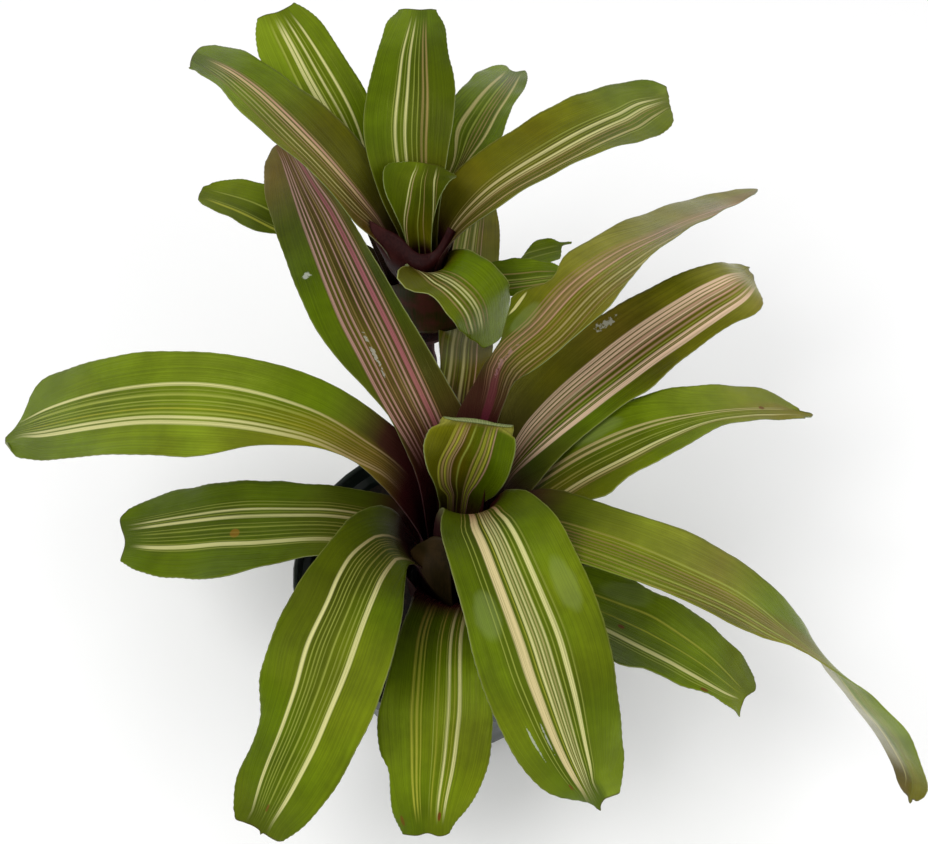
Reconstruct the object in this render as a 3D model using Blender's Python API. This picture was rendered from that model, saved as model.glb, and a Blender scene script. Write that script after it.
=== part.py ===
# Potted zoe neoregelia: a striped bromeliad with one offset on a short runner, in a round nursery pot.
# Metres, +Z up. The origin is the centre of the pot's flat underside.

import math

import bmesh
import bpy
from mathutils import Matrix, Vector

# Driving dimensions, in millimetres
POT_RIM_RADIUS = 78.0
POT_FOOT_RADIUS = 53.0
POT_HEIGHT = 98.0
POT_WALL = 1.8
POT_FLOOR = 3.2
LIP_HEIGHT = 13.0
LIP_STEP = 3.6
DRAIN_RADIUS = 4.5
DRAIN_CIRCLE = 37.0
DRAIN_COUNT = 8
GAP = 0.4
SOIL_TOP = 84.6
SOIL_CALM_RADIUS = 34.0
LEAF_FOOT = 85.0
OFFSET_FOOT = 150.0
MAIN_AXIS = (2.0, 0.0)
OFFSET_AXIS = (-15.0, 115.0)
MAIN_STEM_RADIUS = 7.4
MAIN_STEM_TOP = 116.0
MAIN_STEM_FOOT = 48.0
RUNNER_RADIUS = 4.4
RUNNER_FOOT = (-3.5, 33.0)
RUNNER_FOOT_DEPTH = 62.0
OFFSET_STEM_RADIUS = 3.7
OFFSET_STEM_TOP = 176.0
CROWN_RADIUS = 15.6
CROWN_HEIGHT = 15.0
BRACT_LENGTH = 17.0
BRACT_FLARE = 1.3

# Nested leaf bases: the oldest leaf is the outermost ring, and each younger one stands inside it
MAIN_RING = (24.0, 1.3)
OFFSET_RING = (15.0, 1.15)
MAIN_THICKNESS = 0.9
OFFSET_THICKNESS = 0.8

# Facets of a leaf: cells across, rows along the blade and rows round the tip
MAIN_CELLS = (8, 12, 4)
OFFSET_CELLS = (8, 9, 4)
SMALL_CELLS = (8, 6, 3)
TURN_WEIGHT = 0.35
MOST_WRAP = 1.55
LEAST_RING = 4.0
SMOOTH_STEPS = 16
ROUND_STEPS = 48

LEAF_GREEN = (0.092, 0.155, 0.012, 1.0)
YOUNG_GREEN = (0.085, 0.180, 0.014, 1.0)
FLUSHED = (0.130, 0.075, 0.030, 1.0)
STEM_MAROON = (0.045, 0.012, 0.014, 1.0)
BARK = (0.030, 0.018, 0.011, 1.0)
POT_GREEN = (0.011, 0.024, 0.019, 1.0)

# A leaf's values: heading in degrees; age, counted from the outermost ring; half widths at the foot, the
# neck and the blade; where the neck and the full width lie along it; where the tip starts and how blunt it
# is; the points of its spine (outward, sideways, height); roll in degrees at the blade and the tip, and
# between which parts of the length it turns; how far the halves curl, in radians, at the blade and the tip
# ("low" is the half on the clockwise side where it curls by itself); and the ripple of the margins.
MAIN_LEAVES = {
    "main_leaf_01": dict(
        heading=177, age=0, widths=(24, 18, 23.5), neck=0.28, tip=(0.78, 3.0), curl=(0.3, -0.1), ripple=1.2,
        spine=[(25.6, 0, 104), (34, 0, 126), (60, 0, 134), (98, 0, 128), (133, 0, 119), (162, 0, 110)],
    ),
    "main_leaf_02": dict(
        heading=330, age=1, widths=(24, 18, 19), neck=0.28, tip=(0.70, 2.2), roll=(-12, -12), ripple=0.9,
        spine=[(24.4, 0, 96), (29, 0, 106), (42, 0, 114), (76, 2, 120), (101, 5, 125), (128, 6, 123),
               (153, 5, 104)],
    ),
    "main_leaf_03": dict(
        heading=266, age=2, widths=(24, 16, 23), neck=0.28, tip=(0.66, 2.6), curl=(0.35, 0.0), ripple=1.4,
        spine=[(22.2, 0, 98), (26, 0, 109), (34, -2, 118), (53, -4, 124), (80, -3, 120), (100, -2, 110),
               (117, -2, 98), (130, -1, 87)],
    ),
    "main_leaf_04": dict(
        heading=16, age=3, widths=(24, 18, 21), neck=0.30, full=0.5, tip=(0.62, 1.9), roll=(-8, -8),
        curl=(0.35, 0.1), low=(0.35, 1.7), ripple=0.8,
        spine=[(22, 0, 115), (30, 0, 142), (50, 0, 160), (69, 0, 171), (92, 0, 178), (116, 0, 178),
               (141, 0, 172), (171, 0, 157)],
    ),
    "main_leaf_05": dict(
        heading=236, age=4, widths=(24, 20, 24.5), neck=0.33, tip=(0.77, 3.0), roll=(0, -5),
        curl=(0.3, -0.1), ripple=1.5,
        spine=[(20.6, 0, 112), (27, -2, 136), (38, -7, 149), (65, -8, 156), (105, 3, 141), (135, 4, 119),
               (153, 2, 100)],
    ),
    "main_leaf_06": dict(
        heading=38, age=5, widths=(24, 18, 24), neck=0.33, tip=(0.74, 2.6), curl=(0.4, 0.0), ripple=1.0,
        spine=[(19.2, 0, 112), (21, 0, 130), (27, 0, 148), (39, 0, 159), (61, 0, 170), (86, 0, 178),
               (116, 0, 184), (148, 0, 186), (171, 0, 185), (188, 0, 175)],
    ),
    "main_leaf_07": dict(
        heading=330, age=6, widths=(24, 18, 23), neck=0.28, full=0.45, tip=(0.88, 2.4), roll=(-22, -72),
        turn=(0.57, 0.76), curl=(0.25, 0.4), ripple=0.8,
        spine=[(17.4, 0, 115), (20.5, 1, 140), (27, 2, 156), (42, 5, 171), (70, 4, 182.5), (92, 5, 185),
               (116, 6, 184.5), (133, 8, 180), (157, 10, 168), (172, 14, 152), (194, 18, 122), (212, 22, 98), (229, 23, 72),
               (234, 20, 58)],
    ),
    "main_leaf_08": dict(
        heading=168, age=7, widths=(24, 17, 25), neck=0.33, tip=(0.66, 2.2), roll=(-18, -20), ripple=1.3,
        curl=(0.3, 0.1),
        spine=[(16, 0, 115), (19, 0, 143), (29, 0, 165), (43, 0, 179), (70, 0, 196), (115, 0, 200),
               (166, 0, 180), (222, 0, 142)],
    ),
    "main_leaf_09": dict(
        heading=84.5, age=8, widths=(20, 11, 15), neck=0.42, tip=(0.80, 2.6), curl=(0.5, 0.2), ripple=0.5,
        press=(2.0, 0.5, 0.6),
        spine=[(14.7, 0, 125), (18.2, 0, 150), (26, 2, 167), (42, 2, 174), (66, 2, 171), (86, 3, 163),
               (104, 3, 157), (143, 4, 153), (190, 4, 146)],
    ),
    "main_leaf_10": dict(
        heading=118, age=9, widths=(24, 18, 23), neck=0.38, tip=(0.84, 3.0), roll=(-22, -22),
        curl=(0.5, 0.3), low=(1.0, 1.2), ripple=0.7,
        spine=[(13.4, 0, 125), (17.6, -1, 162), (26, 0, 178), (39, 1, 187), (58, 1, 193), (107, -2, 199),
               (165, -8, 196), (205, -14, 189)],
    ),
    "main_leaf_11": dict(
        heading=292, age=10, widths=(22, 18, 28), neck=0.38, full=0.56, tip=(0.60, 2.0), curl=(0.35, 0.0),
        skew=0.35, ripple=0.9,
        spine=[(11.8, 0, 120), (14, 2, 153), (21, 4, 177), (34, 3, 188), (52, 3, 189.5), (84, 4, 174),
               (111, 2, 150), (130, 5, 128), (140, 9, 113)],
    ),
    "main_leaf_12": dict(
        heading=50, age=11, widths=(22, 15, 24.5), neck=0.42, tip=(0.64, 1.8), roll=(-18, -25),
        curl=(0.5, 0.3), ripple=0.6,
        spine=[(10.6, 0, 130), (14.2, 1, 164), (22, 3, 184), (32, 5, 200), (42, 7, 213), (62, 1, 222), (89, 0, 226),
               (118, -1, 222), (147, -4, 214), (190, -6, 196), (245, -9, 168)],
    ),
    "main_leaf_13": dict(
        heading=82, age=12, widths=(16, 9, 26), neck=0.55, full=0.9, tip=(0.90, 2.6), curl=(0.9, 0.9),
        ripple=0.5, wrap=2.1,
        spine=[(8.2, 0, 125), (8, -2, 155), (9, -4, 172), (12, -5, 188), (19, -5, 200), (22, -5, 204)],
    ),
}

OFFSET_LEAVES = {
    "offset_leaf_01": dict(
        heading=150, age=0, widths=(13, 10, 12), tip=(0.74, 2.4), curl=(0.3, 0.3), ripple=0.4,
        spine=[(18, 0, 165), (45, 0, 174), (86, 0, 176), (106, 0, 177), (132, 0, 173)],
    ),
    "offset_leaf_02": dict(
        heading=20, age=1, widths=(13, 8, 10), tip=(0.74, 2.2), curl=(0.3, 0.3), ripple=0.3,
        spine=[(14.6, 0, 166), (18, 0, 172), (27, 0, 176), (50, 0, 179), (66, 0, 179), (79, 0, 177)],
    ),
    "offset_leaf_03": dict(
        heading=126, age=2, widths=(16, 11, 17), tip=(0.74, 2.6), ripple=0.7,
        spine=[(13.3, 0, 163), (20, 0, 177), (32, 0, 191), (45, 0, 211), (62, 0, 237), (90, 0, 254), (118, 0, 267)],
    ),
    "offset_leaf_04": dict(
        heading=352, age=3, widths=(13, 8, 9.5), tip=(0.74, 2.6), curl=(0.3, 0.3), low=(-0.5, -0.3), ripple=0.3,
        spine=[(12.5, 0, 168), (18, 0, 180), (36, 0, 181), (53, 0, 186), (69, 0, 194)],
    ),
    "offset_leaf_05": dict(
        heading=66, age=4, widths=(16, 11, 15), tip=(0.70, 2.4), ripple=0.7,
        spine=[(11.6, 0, 172), (15, 0, 188), (27, 0, 212), (57, 0, 224), (89, 0, 225), (123, 0, 213)],
    ),
    "offset_leaf_06": dict(
        heading=150, age=5, widths=(16, 11, 18), tip=(0.66, 2.2), roll=(10, 15), ripple=0.6,
        spine=[(10.4, 0, 175), (17, 0, 200), (25, 0, 219), (43, 0, 241), (69, 0, 257), (95, 0, 266),
               (123, 0, 267)],
    ),
    "offset_leaf_07": dict(
        heading=322, age=6, widths=(13, 11, 18), tip=(0.74, 2.6), curl=(0.3, -0.3), ripple=0.5,
        spine=[(9.3, 0, 175), (12.5, 0, 194), (22, 0, 205), (34, 0, 206), (43.5, 0, 197.5), (46.5, 0, 175)],
    ),
    "offset_leaf_08": dict(
        heading=35, age=7, widths=(16, 12, 17), full=0.55, tip=(0.82, 2.8), ripple=0.6,
        spine=[(8.6, 0, 178), (13.5, 0, 205), (34, 0, 224), (69, 0, 231), (105, 0, 230), (151, 0, 217)],
    ),
    "offset_leaf_09": dict(
        heading=91, age=8, widths=(16, 11, 18.5), tip=(0.74, 2.8), ripple=0.6,
        spine=[(7, 0, 180), (10, 1, 203), (18, 4, 222), (33, 6, 240), (51, 5, 254), (70, 4, 262),
               (97, 1, 265)],
    ),
    "offset_leaf_10": dict(
        heading=95, age=9, widths=(13, 11, 19), neck=0.45, full=0.8, tip=(0.84, 2.6), curl=(0.8, 0.8),
        ripple=0.4,
        spine=[(5.2, 0, 180), (6, 1, 206), (9.4, 2, 222), (15.4, 2, 232), (22.5, 0, 236)],
    ),
}
SMALL_LEAVES = ("offset_leaf_01", "offset_leaf_02", "offset_leaf_04")
FLUSHED_LEAVES = ("main_leaf_09", "main_leaf_10", "main_leaf_12")


def clear_scene():
    for thing in list(bpy.data.objects):
        bpy.data.objects.remove(thing, do_unlink=True)


def plain_material(name, colour, roughness):
    material = bpy.data.materials.new(name)
    material.use_nodes = True
    shader = material.node_tree.nodes["Principled BSDF"]
    shader.inputs["Base Color"].default_value = colour
    shader.inputs["Roughness"].default_value = roughness
    shader.inputs["Metallic"].default_value = 0.0
    return material


def add_object(name, bm, material, smooth=True):
    """Turn a bmesh in millimetres into a named object in metres."""
    bmesh.ops.scale(bm, vec=(0.001, 0.001, 0.001), verts=bm.verts)
    bmesh.ops.recalc_face_normals(bm, faces=bm.faces)
    mesh = bpy.data.meshes.new(name)
    bm.to_mesh(mesh)
    bm.free()
    if smooth:
        mesh.shade_smooth()
        mesh.set_sharp_from_angle(angle=math.radians(40))
    mesh.materials.append(material)
    thing = bpy.data.objects.new(name, mesh)
    bpy.context.scene.collection.objects.link(thing)
    return thing


def turned(profile, axis=(0.0, 0.0), steps=ROUND_STEPS):
    """Spin a half profile, given as (radius, height) from axis to axis, into a closed body."""
    bm = bmesh.new()
    line = [bm.verts.new((radius, 0.0, height)) for radius, height in profile]
    edges = [bm.edges.new(pair) for pair in zip(line, line[1:])]
    bmesh.ops.spin(
        bm, geom=line + edges, cent=(0, 0, 0), axis=(0, 0, 1), angle=math.tau, steps=steps, use_merge=True
    )
    bmesh.ops.remove_doubles(bm, verts=bm.verts, dist=0.001)
    bmesh.ops.translate(bm, verts=bm.verts, vec=(axis[0], axis[1], 0.0))
    return bm


def add_cut(thing, cutter):
    cutter.hide_render = True
    cutter.display_type = "WIRE"
    cut = thing.modifiers.new("cut", "BOOLEAN")
    cut.operation = "DIFFERENCE"
    cut.solver = "EXACT"
    cut.object = cutter


def smooth_step(x):
    x = min(max(x, 0.0), 1.0)
    return x * x * (3.0 - 2.0 * x)


def smooth_path(points):
    """Read a Catmull-Rom curve through the points as a fine list of points."""
    first = 2 * points[0] - points[1]
    last = 2 * points[-1] - points[-2]
    held = [first] + list(points) + [last]
    path = []
    for a, b, c, d in zip(held, held[1:], held[2:], held[3:]):
        for step in range(SMOOTH_STEPS):
            t = step / SMOOTH_STEPS
            path.append(
                0.5 * (2 * b + (c - a) * t + (2 * a - 5 * b + 4 * c - d) * t**2
                       + (3 * b - a - 3 * c + d) * t**3)
            )
    path.append(points[-1])
    return path


def stage_value(start, blade, tip, turn, t):
    """Ease from the foot's value to the blade's, and then to the tip's."""
    early = start + (blade - start) * smooth_step((t - 0.2) / (turn[0] - 0.2))
    late = blade + (tip - blade) * smooth_step((t - turn[0]) / (turn[1] - turn[0]))
    return early if t < turn[0] else late


class LeafSurface:
    """The middle surface of one leaf, read by t along it and u across it, in millimetres."""

    def __init__(self, values, axis, ring, foot):
        self.values = values
        self.axis = axis
        radius = ring[0] - ring[1] * values["age"]
        points = [Vector((radius, 0.0, foot))] + [Vector(point) for point in values["spine"]]
        self.path = smooth_path(points)
        self.reach = [0.0]
        for a, b in zip(self.path, self.path[1:]):
            self.reach.append(self.reach[-1] + (b - a).length)
        self.neck = values.get("neck", 0.3)
        self.full = values.get("full", 0.66)
        self.tip_start, self.bluntness = values["tip"]
        self.turn = values.get("turn", (0.55, 0.95))

    def spine_at(self, t):
        """The spine's point and direction."""
        goal = min(max(t, 0.0), 1.0) * self.reach[-1]
        i = 0
        while i < len(self.path) - 2 and self.reach[i + 1] < goal:
            i += 1
        share = (goal - self.reach[i]) / (self.reach[i + 1] - self.reach[i])
        before = self.path[max(i - 1, 0)]
        after = self.path[min(i + 2, len(self.path) - 1)]
        low = (self.path[i + 1] - before).normalized()
        high = (after - self.path[i]).normalized()
        return self.path[i].lerp(self.path[i + 1], share), low.lerp(high, share).normalized()

    def half_width(self, t):
        foot, neck, blade = self.values["widths"]
        if t < self.neck:
            width = foot + (neck - foot) * smooth_step(t / self.neck)
        else:
            width = neck + (blade - neck) * smooth_step((t - self.neck) / (self.full - self.neck))
        toward_tip = min(max((t - self.tip_start) / (1.0 - self.tip_start), 0.0), 1.0)
        return width * (1.0 - toward_tip**self.bluntness) ** (1.0 / self.bluntness)

    def row(self, t):
        """All that the points of one row across the leaf share."""
        values = self.values
        centre, along = self.spine_at(t)
        across = Vector((0.0, 1.0, 0.0))
        across = (across - along * across.dot(along)).normalized()
        facing = along.cross(across)
        blade_roll, tip_roll = values.get("roll", (0, 0))
        roll = math.radians(stage_value(0.0, blade_roll, tip_roll, self.turn, t))
        across, facing = (
            across * math.cos(roll) + facing * math.sin(roll),
            facing * math.cos(roll) - across * math.sin(roll),
        )
        width = self.half_width(t)
        upright = smooth_step((along.z - 0.25) / 0.65)
        curls = []
        for side in ("curl", "low"):
            blade_curl, tip_curl = values.get(side, values.get("curl", (0.4, 0.0)))
            curl = stage_value(blade_curl, blade_curl, tip_curl, (0.55, 0.95), t)
            blade_bend = (1.0 - upright) * curl / values["widths"][2]
            curls.append(upright / max(centre.x, LEAST_RING) + blade_bend)
        if "press" in values:
            pressed, start, end = values["press"]
            strength = smooth_step((t - start) / (end - start))
            curls[0] += (pressed / values["widths"][2] - curls[0]) * strength
        width = min(width, values.get("wrap", MOST_WRAP) / max(abs(curls[0]), 1e-6))
        sway = values["ripple"] * (1.0 - upright) * smooth_step((t - self.neck) / 0.2)
        skew = values.get("skew", 0.0) * smooth_step((t - 0.8) / 0.2)
        return centre, along, across, facing, width, curls, sway, skew

    def point(self, row, t, u):
        centre, along, across, facing, width, curls, sway, skew = row
        bend = curls[0] if u >= 0 else curls[1]
        if abs(bend) < 1e-5:
            bend = 1e-5
        angle = bend * width * u
        out = math.sin(angle) / bend
        lift = (1.0 - math.cos(angle)) / bend
        phase = 1.7 * self.values["age"] + (0.9 if u > 0 else 0.0)
        lift += sway * u * u * math.sin(math.tau * 3.2 * t + phase)
        place = centre + across * out + facing * lift + along * (skew * width * u)
        turn = Matrix.Rotation(math.radians(self.values["heading"]), 3, "Z")
        return turn @ place + Vector((self.axis[0], self.axis[1], 0.0))

    def stations(self, blade_rows, tip_rows):
        """Where the rows lie: closer where the spine bends, and round the tip."""
        samples = [self.tip_start * i / 200 for i in range(201)]
        measure = [0.0]
        for a, b in zip(samples, samples[1:]):
            first = self.row(a)
            second = self.row(b)
            bend = first[1].angle(second[1]) + 0.5 * first[3].angle(second[3])
            measure.append(measure[-1] + (b - a) + TURN_WEIGHT * bend / math.pi)
        places = []
        i = 0
        for row in range(blade_rows + 1):
            goal = measure[-1] * row / blade_rows
            while i < len(measure) - 2 and measure[i + 1] < goal:
                i += 1
            share = (goal - measure[i]) / (measure[i + 1] - measure[i])
            places.append(samples[i] + share * (samples[i + 1] - samples[i]))
        for row in range(1, tip_rows + 1):
            sweep = math.sin(math.radians(82.0 * row / tip_rows))
            places.append(self.tip_start + (1.0 - self.tip_start) * sweep)
        return places


def leaf_body(surface, cells, thickness):
    """A closed blade: the middle surface, split into triangles, pushed half a thickness to each side."""
    across, blade_rows, tip_rows = cells
    stations = surface.stations(blade_rows, tip_rows)
    rows = [surface.row(t) for t in stations]
    bm = bmesh.new()
    bmesh.ops.create_grid(bm, x_segments=across, y_segments=len(stations) - 1, size=0.5)
    for vert in bm.verts:
        u = 2.0 * vert.co.x
        index = round((vert.co.y + 0.5) * (len(stations) - 1))
        vert.co = surface.point(rows[index], stations[index], u)
    bmesh.ops.triangulate(bm, faces=bm.faces, quad_method="FIXED")
    bm.normal_update()
    side = bm.verts.layers.float_vector.new("side")
    for vert in bm.verts:
        vert[side] = vert.normal
    grown = bmesh.ops.extrude_face_region(bm, geom=bm.faces[:], use_keep_orig=True)
    new_verts = {item for item in grown["geom"] if isinstance(item, bmesh.types.BMVert)}
    for vert in bm.verts:
        way = 0.5 if vert in new_verts else -0.5
        vert.co += vert[side] * thickness * way
    return bm


def make_leaves(leaves, axis, ring, foot, thickness, cells):
    for name, values in leaves.items():
        surface = LeafSurface(values, axis, ring, foot)
        colour = LEAF_GREEN
        if name in FLUSHED_LEAVES:
            colour = FLUSHED
        elif name.startswith("offset"):
            colour = YOUNG_GREEN
        material = plain_material(name + "_skin", colour, 0.32)
        body = leaf_body(surface, SMALL_CELLS if name in SMALL_LEAVES else cells, thickness)
        add_object(name, body, material)


def wall_radius(height):
    """The pot wall's outer radius below the lip."""
    share = height / (POT_HEIGHT - LIP_HEIGHT)
    return POT_FOOT_RADIUS + share * (POT_RIM_RADIUS - LIP_STEP - POT_FOOT_RADIUS)


def make_pot():
    lip_foot = POT_HEIGHT - LIP_HEIGHT
    bead = 0.9
    profile = [
        (0.0, 0.0),
        (POT_FOOT_RADIUS - 2.5, 0.0),
        (wall_radius(1.0) - 0.7, 0.4),
        (wall_radius(2.5), 2.5),
        (wall_radius(lip_foot - 2.0), lip_foot - 2.0),
        (POT_RIM_RADIUS - 1.2, lip_foot),
        (POT_RIM_RADIUS - 0.6, lip_foot + 1.0),
        (POT_RIM_RADIUS - bead, POT_HEIGHT - 3.0),
        (POT_RIM_RADIUS, POT_HEIGHT - 2.2),
        (POT_RIM_RADIUS, POT_HEIGHT - 0.7),
        (POT_RIM_RADIUS - 0.6, POT_HEIGHT),
        (POT_RIM_RADIUS - POT_WALL, POT_HEIGHT),
        (POT_RIM_RADIUS - POT_WALL - 0.6, POT_HEIGHT - 1.0),
        (POT_RIM_RADIUS - POT_WALL - 1.2, lip_foot + 2.0),
        (wall_radius(lip_foot) - POT_WALL, lip_foot - 1.0),
        (wall_radius(POT_FLOOR + 2.0) - POT_WALL, POT_FLOOR + 2.0),
        (wall_radius(POT_FLOOR) - POT_WALL - 2.0, POT_FLOOR),
        (0.0, POT_FLOOR),
    ]
    pot = add_object("pot", turned(profile), plain_material("pot_plastic", POT_GREEN, 0.38))
    drains = bmesh.new()
    for i in range(DRAIN_COUNT):
        angle = math.tau * i / DRAIN_COUNT
        place = Matrix.Translation((DRAIN_CIRCLE * math.cos(angle), DRAIN_CIRCLE * math.sin(angle), 0.0))
        bmesh.ops.create_cone(
            drains, cap_ends=True, segments=12, radius1=DRAIN_RADIUS, radius2=DRAIN_RADIUS,
            depth=4.0 * POT_FLOOR, matrix=place,
        )
    cutter = add_object("drain_cutter", drains, plain_material("cutter", POT_GREEN, 0.5), smooth=False)
    add_cut(pot, cutter)


def make_soil():
    low = POT_FLOOR + GAP
    clear = POT_WALL + GAP
    profile = [
        (0.0, low),
        (wall_radius(low) - clear - 3.0, low),
        (wall_radius(low + 3.0) - clear, low + 3.0),
        (wall_radius(SOIL_TOP - 5.0) - clear, SOIL_TOP - 5.0),
        (wall_radius(SOIL_TOP - 2.0) - clear - 0.4, SOIL_TOP - 2.6),
        (62.0, SOIL_TOP - 1.6),
        (54.0, SOIL_TOP - 1.2),
        (45.0, SOIL_TOP - 0.8),
        (SOIL_CALM_RADIUS, SOIL_TOP),
        (0.0, SOIL_TOP),
    ]
    bm = turned(profile, steps=36)
    for vert in bm.verts:
        radius = math.hypot(vert.co.x, vert.co.y)
        if vert.co.z > SOIL_TOP - 2.0 and radius > SOIL_CALM_RADIUS + 2.0:
            vert.co.z += 0.7 * math.sin(0.31 * vert.co.x + 1.0) * math.cos(0.27 * vert.co.y)
    soil = add_object("soil", bm, plain_material("potting_bark", BARK, 0.95))
    holes = bmesh.new()
    depth = 2.0 * (SOIL_TOP - MAIN_STEM_FOOT + GAP)
    bmesh.ops.create_cone(
        holes, cap_ends=True, segments=24, radius1=MAIN_STEM_RADIUS + GAP, radius2=MAIN_STEM_RADIUS + GAP,
        depth=depth, matrix=Matrix.Translation((MAIN_AXIS[0], MAIN_AXIS[1], SOIL_TOP)),
    )
    depth = 2.0 * (SOIL_TOP - RUNNER_FOOT_DEPTH + GAP)
    bmesh.ops.create_cone(
        holes, cap_ends=True, segments=16, radius1=RUNNER_RADIUS + GAP, radius2=RUNNER_RADIUS + GAP,
        depth=depth, matrix=Matrix.Translation((RUNNER_FOOT[0], RUNNER_FOOT[1], SOIL_TOP)),
    )
    cutter = add_object("stem_hole_cutter", holes, plain_material("cutter", BARK, 0.5), smooth=False)
    add_cut(soil, cutter)


def make_main_stem():
    profile = [
        (0.0, MAIN_STEM_FOOT),
        (MAIN_STEM_RADIUS - 2.0, MAIN_STEM_FOOT),
        (MAIN_STEM_RADIUS, MAIN_STEM_FOOT + 3.0),
        (MAIN_STEM_RADIUS, MAIN_STEM_TOP - 8.0),
        (MAIN_STEM_RADIUS - 1.6, MAIN_STEM_TOP - 3.0),
        (MAIN_STEM_RADIUS - 4.0, MAIN_STEM_TOP - 0.6),
        (0.0, MAIN_STEM_TOP),
    ]
    bm = turned(profile, MAIN_AXIS, steps=20)
    add_object("main_stem", bm, plain_material("main_stem_skin", STEM_MAROON, 0.6))


def bract_swell(reach, start):
    """How far a bract stands off the runner, at this distance along it."""
    if reach < start:
        return 0.0
    share = ((reach - start) % BRACT_LENGTH) / BRACT_LENGTH
    return BRACT_FLARE * (share if share < 0.9 else 9.0 * (1.0 - share))


def make_offset_stem():
    """The runner, from the soil to the offset, with overlapping bracts and the offset's swollen foot."""
    top = OFFSET_FOOT - GAP
    route = [
        Vector((RUNNER_FOOT[0], RUNNER_FOOT[1], RUNNER_FOOT_DEPTH)),
        Vector((RUNNER_FOOT[0], RUNNER_FOOT[1], SOIL_TOP - 8.0)),
        Vector((RUNNER_FOOT[0], RUNNER_FOOT[1] + 0.5, SOIL_TOP + 2.0)),
        Vector((-5.5, 43.0, 104.0)),
        Vector((-9.0, 66.0, 122.0)),
        Vector((-12.5, 92.0, 131.0)),
        Vector((-14.6, 109.0, 136.5)),
        Vector((OFFSET_AXIS[0], OFFSET_AXIS[1], 145.0)),
    ]
    path = smooth_path(route)
    curve = bpy.data.curves.new("runner", "CURVE")
    curve.dimensions = "3D"
    curve.bevel_depth = 0.001
    curve.bevel_resolution = 3
    curve.use_fill_caps = True
    stretch = path[:: SMOOTH_STEPS // 4]
    spline = curve.splines.new("POLY")
    spline.points.add(len(stretch) - 1)
    reach = 0.0
    for i, place in enumerate(stretch):
        if i:
            reach += (place - stretch[i - 1]).length
        spline.points[i].co = (place.x * 0.001, place.y * 0.001, place.z * 0.001, 1.0)
        spline.points[i].radius = RUNNER_RADIUS + bract_swell(reach, SOIL_TOP + 6.0 - RUNNER_FOOT_DEPTH)
    runner = bpy.data.objects.new("runner", curve)
    bpy.context.scene.collection.objects.link(runner)
    graph = bpy.context.evaluated_depsgraph_get()
    tube = bpy.data.meshes.new_from_object(runner.evaluated_get(graph))
    bpy.data.objects.remove(runner, do_unlink=True)

    bm = bmesh.new()
    bm.from_mesh(tube)
    bmesh.ops.remove_doubles(bm, verts=bm.verts, dist=0.00001)
    bmesh.ops.scale(bm, vec=(1000.0, 1000.0, 1000.0), verts=bm.verts)
    bpy.data.meshes.remove(tube)
    stem = add_object("offset_stem", bm, plain_material("offset_stem_skin", STEM_MAROON, 0.6))

    profile = [
        (0.0, top - CROWN_HEIGHT - 3.0),
        (RUNNER_RADIUS, top - CROWN_HEIGHT),
        (CROWN_RADIUS * 0.62, top - CROWN_HEIGHT * 0.55),
        (CROWN_RADIUS, top - 2.0),
        (CROWN_RADIUS, top),
        (OFFSET_STEM_RADIUS, top),
        (OFFSET_STEM_RADIUS, OFFSET_STEM_TOP - 4.0),
        (OFFSET_STEM_RADIUS - 1.4, OFFSET_STEM_TOP - 1.0),
        (0.0, OFFSET_STEM_TOP),
    ]
    material = plain_material("offset_crown_skin", STEM_MAROON, 0.6)
    crown = add_object("offset_crown", turned(profile, OFFSET_AXIS, steps=20), material)
    join = stem.modifiers.new("join", "BOOLEAN")
    join.operation = "UNION"
    join.solver = "EXACT"
    join.object = crown
    crown.hide_render = True
    crown.display_type = "WIRE"


clear_scene()
make_pot()
make_soil()
make_main_stem()
make_offset_stem()
make_leaves(MAIN_LEAVES, MAIN_AXIS, MAIN_RING, LEAF_FOOT, MAIN_THICKNESS, MAIN_CELLS)
make_leaves(OFFSET_LEAVES, OFFSET_AXIS, OFFSET_RING, OFFSET_FOOT, OFFSET_THICKNESS, OFFSET_CELLS)
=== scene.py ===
# Potted neoregelia: striped leaves with one offset on its runner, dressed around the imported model.
# Leaf values are in millimetres, in the same frame as the part; meshes are brought to metres.
import math

import bmesh
import bpy
from mathutils import Matrix, Vector


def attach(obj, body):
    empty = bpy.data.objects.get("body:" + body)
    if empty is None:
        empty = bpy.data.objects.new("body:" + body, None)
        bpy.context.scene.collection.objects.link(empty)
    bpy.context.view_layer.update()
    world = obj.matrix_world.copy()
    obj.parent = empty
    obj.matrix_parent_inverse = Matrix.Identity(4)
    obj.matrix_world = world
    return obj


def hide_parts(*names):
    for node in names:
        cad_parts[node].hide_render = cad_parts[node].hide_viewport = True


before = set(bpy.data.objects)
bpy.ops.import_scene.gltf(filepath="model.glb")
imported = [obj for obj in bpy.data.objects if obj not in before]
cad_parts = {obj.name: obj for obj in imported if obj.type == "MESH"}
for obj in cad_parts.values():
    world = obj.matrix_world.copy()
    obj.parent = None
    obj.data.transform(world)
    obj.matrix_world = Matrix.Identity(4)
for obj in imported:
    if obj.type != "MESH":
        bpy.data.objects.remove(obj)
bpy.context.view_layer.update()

print("frame loaded,", len(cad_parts), "parts")
bpy.context.scene.view_settings.view_transform = "Standard"


def paint(red, green, blue):
    # screen values, 0 to 255, to the linear colour that a shader reads
    parts = [value / 255 for value in (red, green, blue)]
    return tuple(((part + 0.055) / 1.055) ** 2.4 if part > 0.04 else part / 12.92 for part in parts) + (1.0,)


def palette(screenPaints):
    return {name: paint(*values) for name, values in screenPaints.items()}


stripePaints = palette({
    "cream": (200, 196, 134), "buff": (200, 184, 134), "straw": (172, 162, 106), "blush": (192, 164, 124),
    "shell": (218, 186, 158), "pale": (142, 150, 64), "yellow": (150, 150, 50), "pink": (184, 144, 122),
    "mauve": (172, 136, 126), "rose": (148, 84, 96), "tan": (144, 122, 76), "dark": (48, 32, 14),
})

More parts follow.
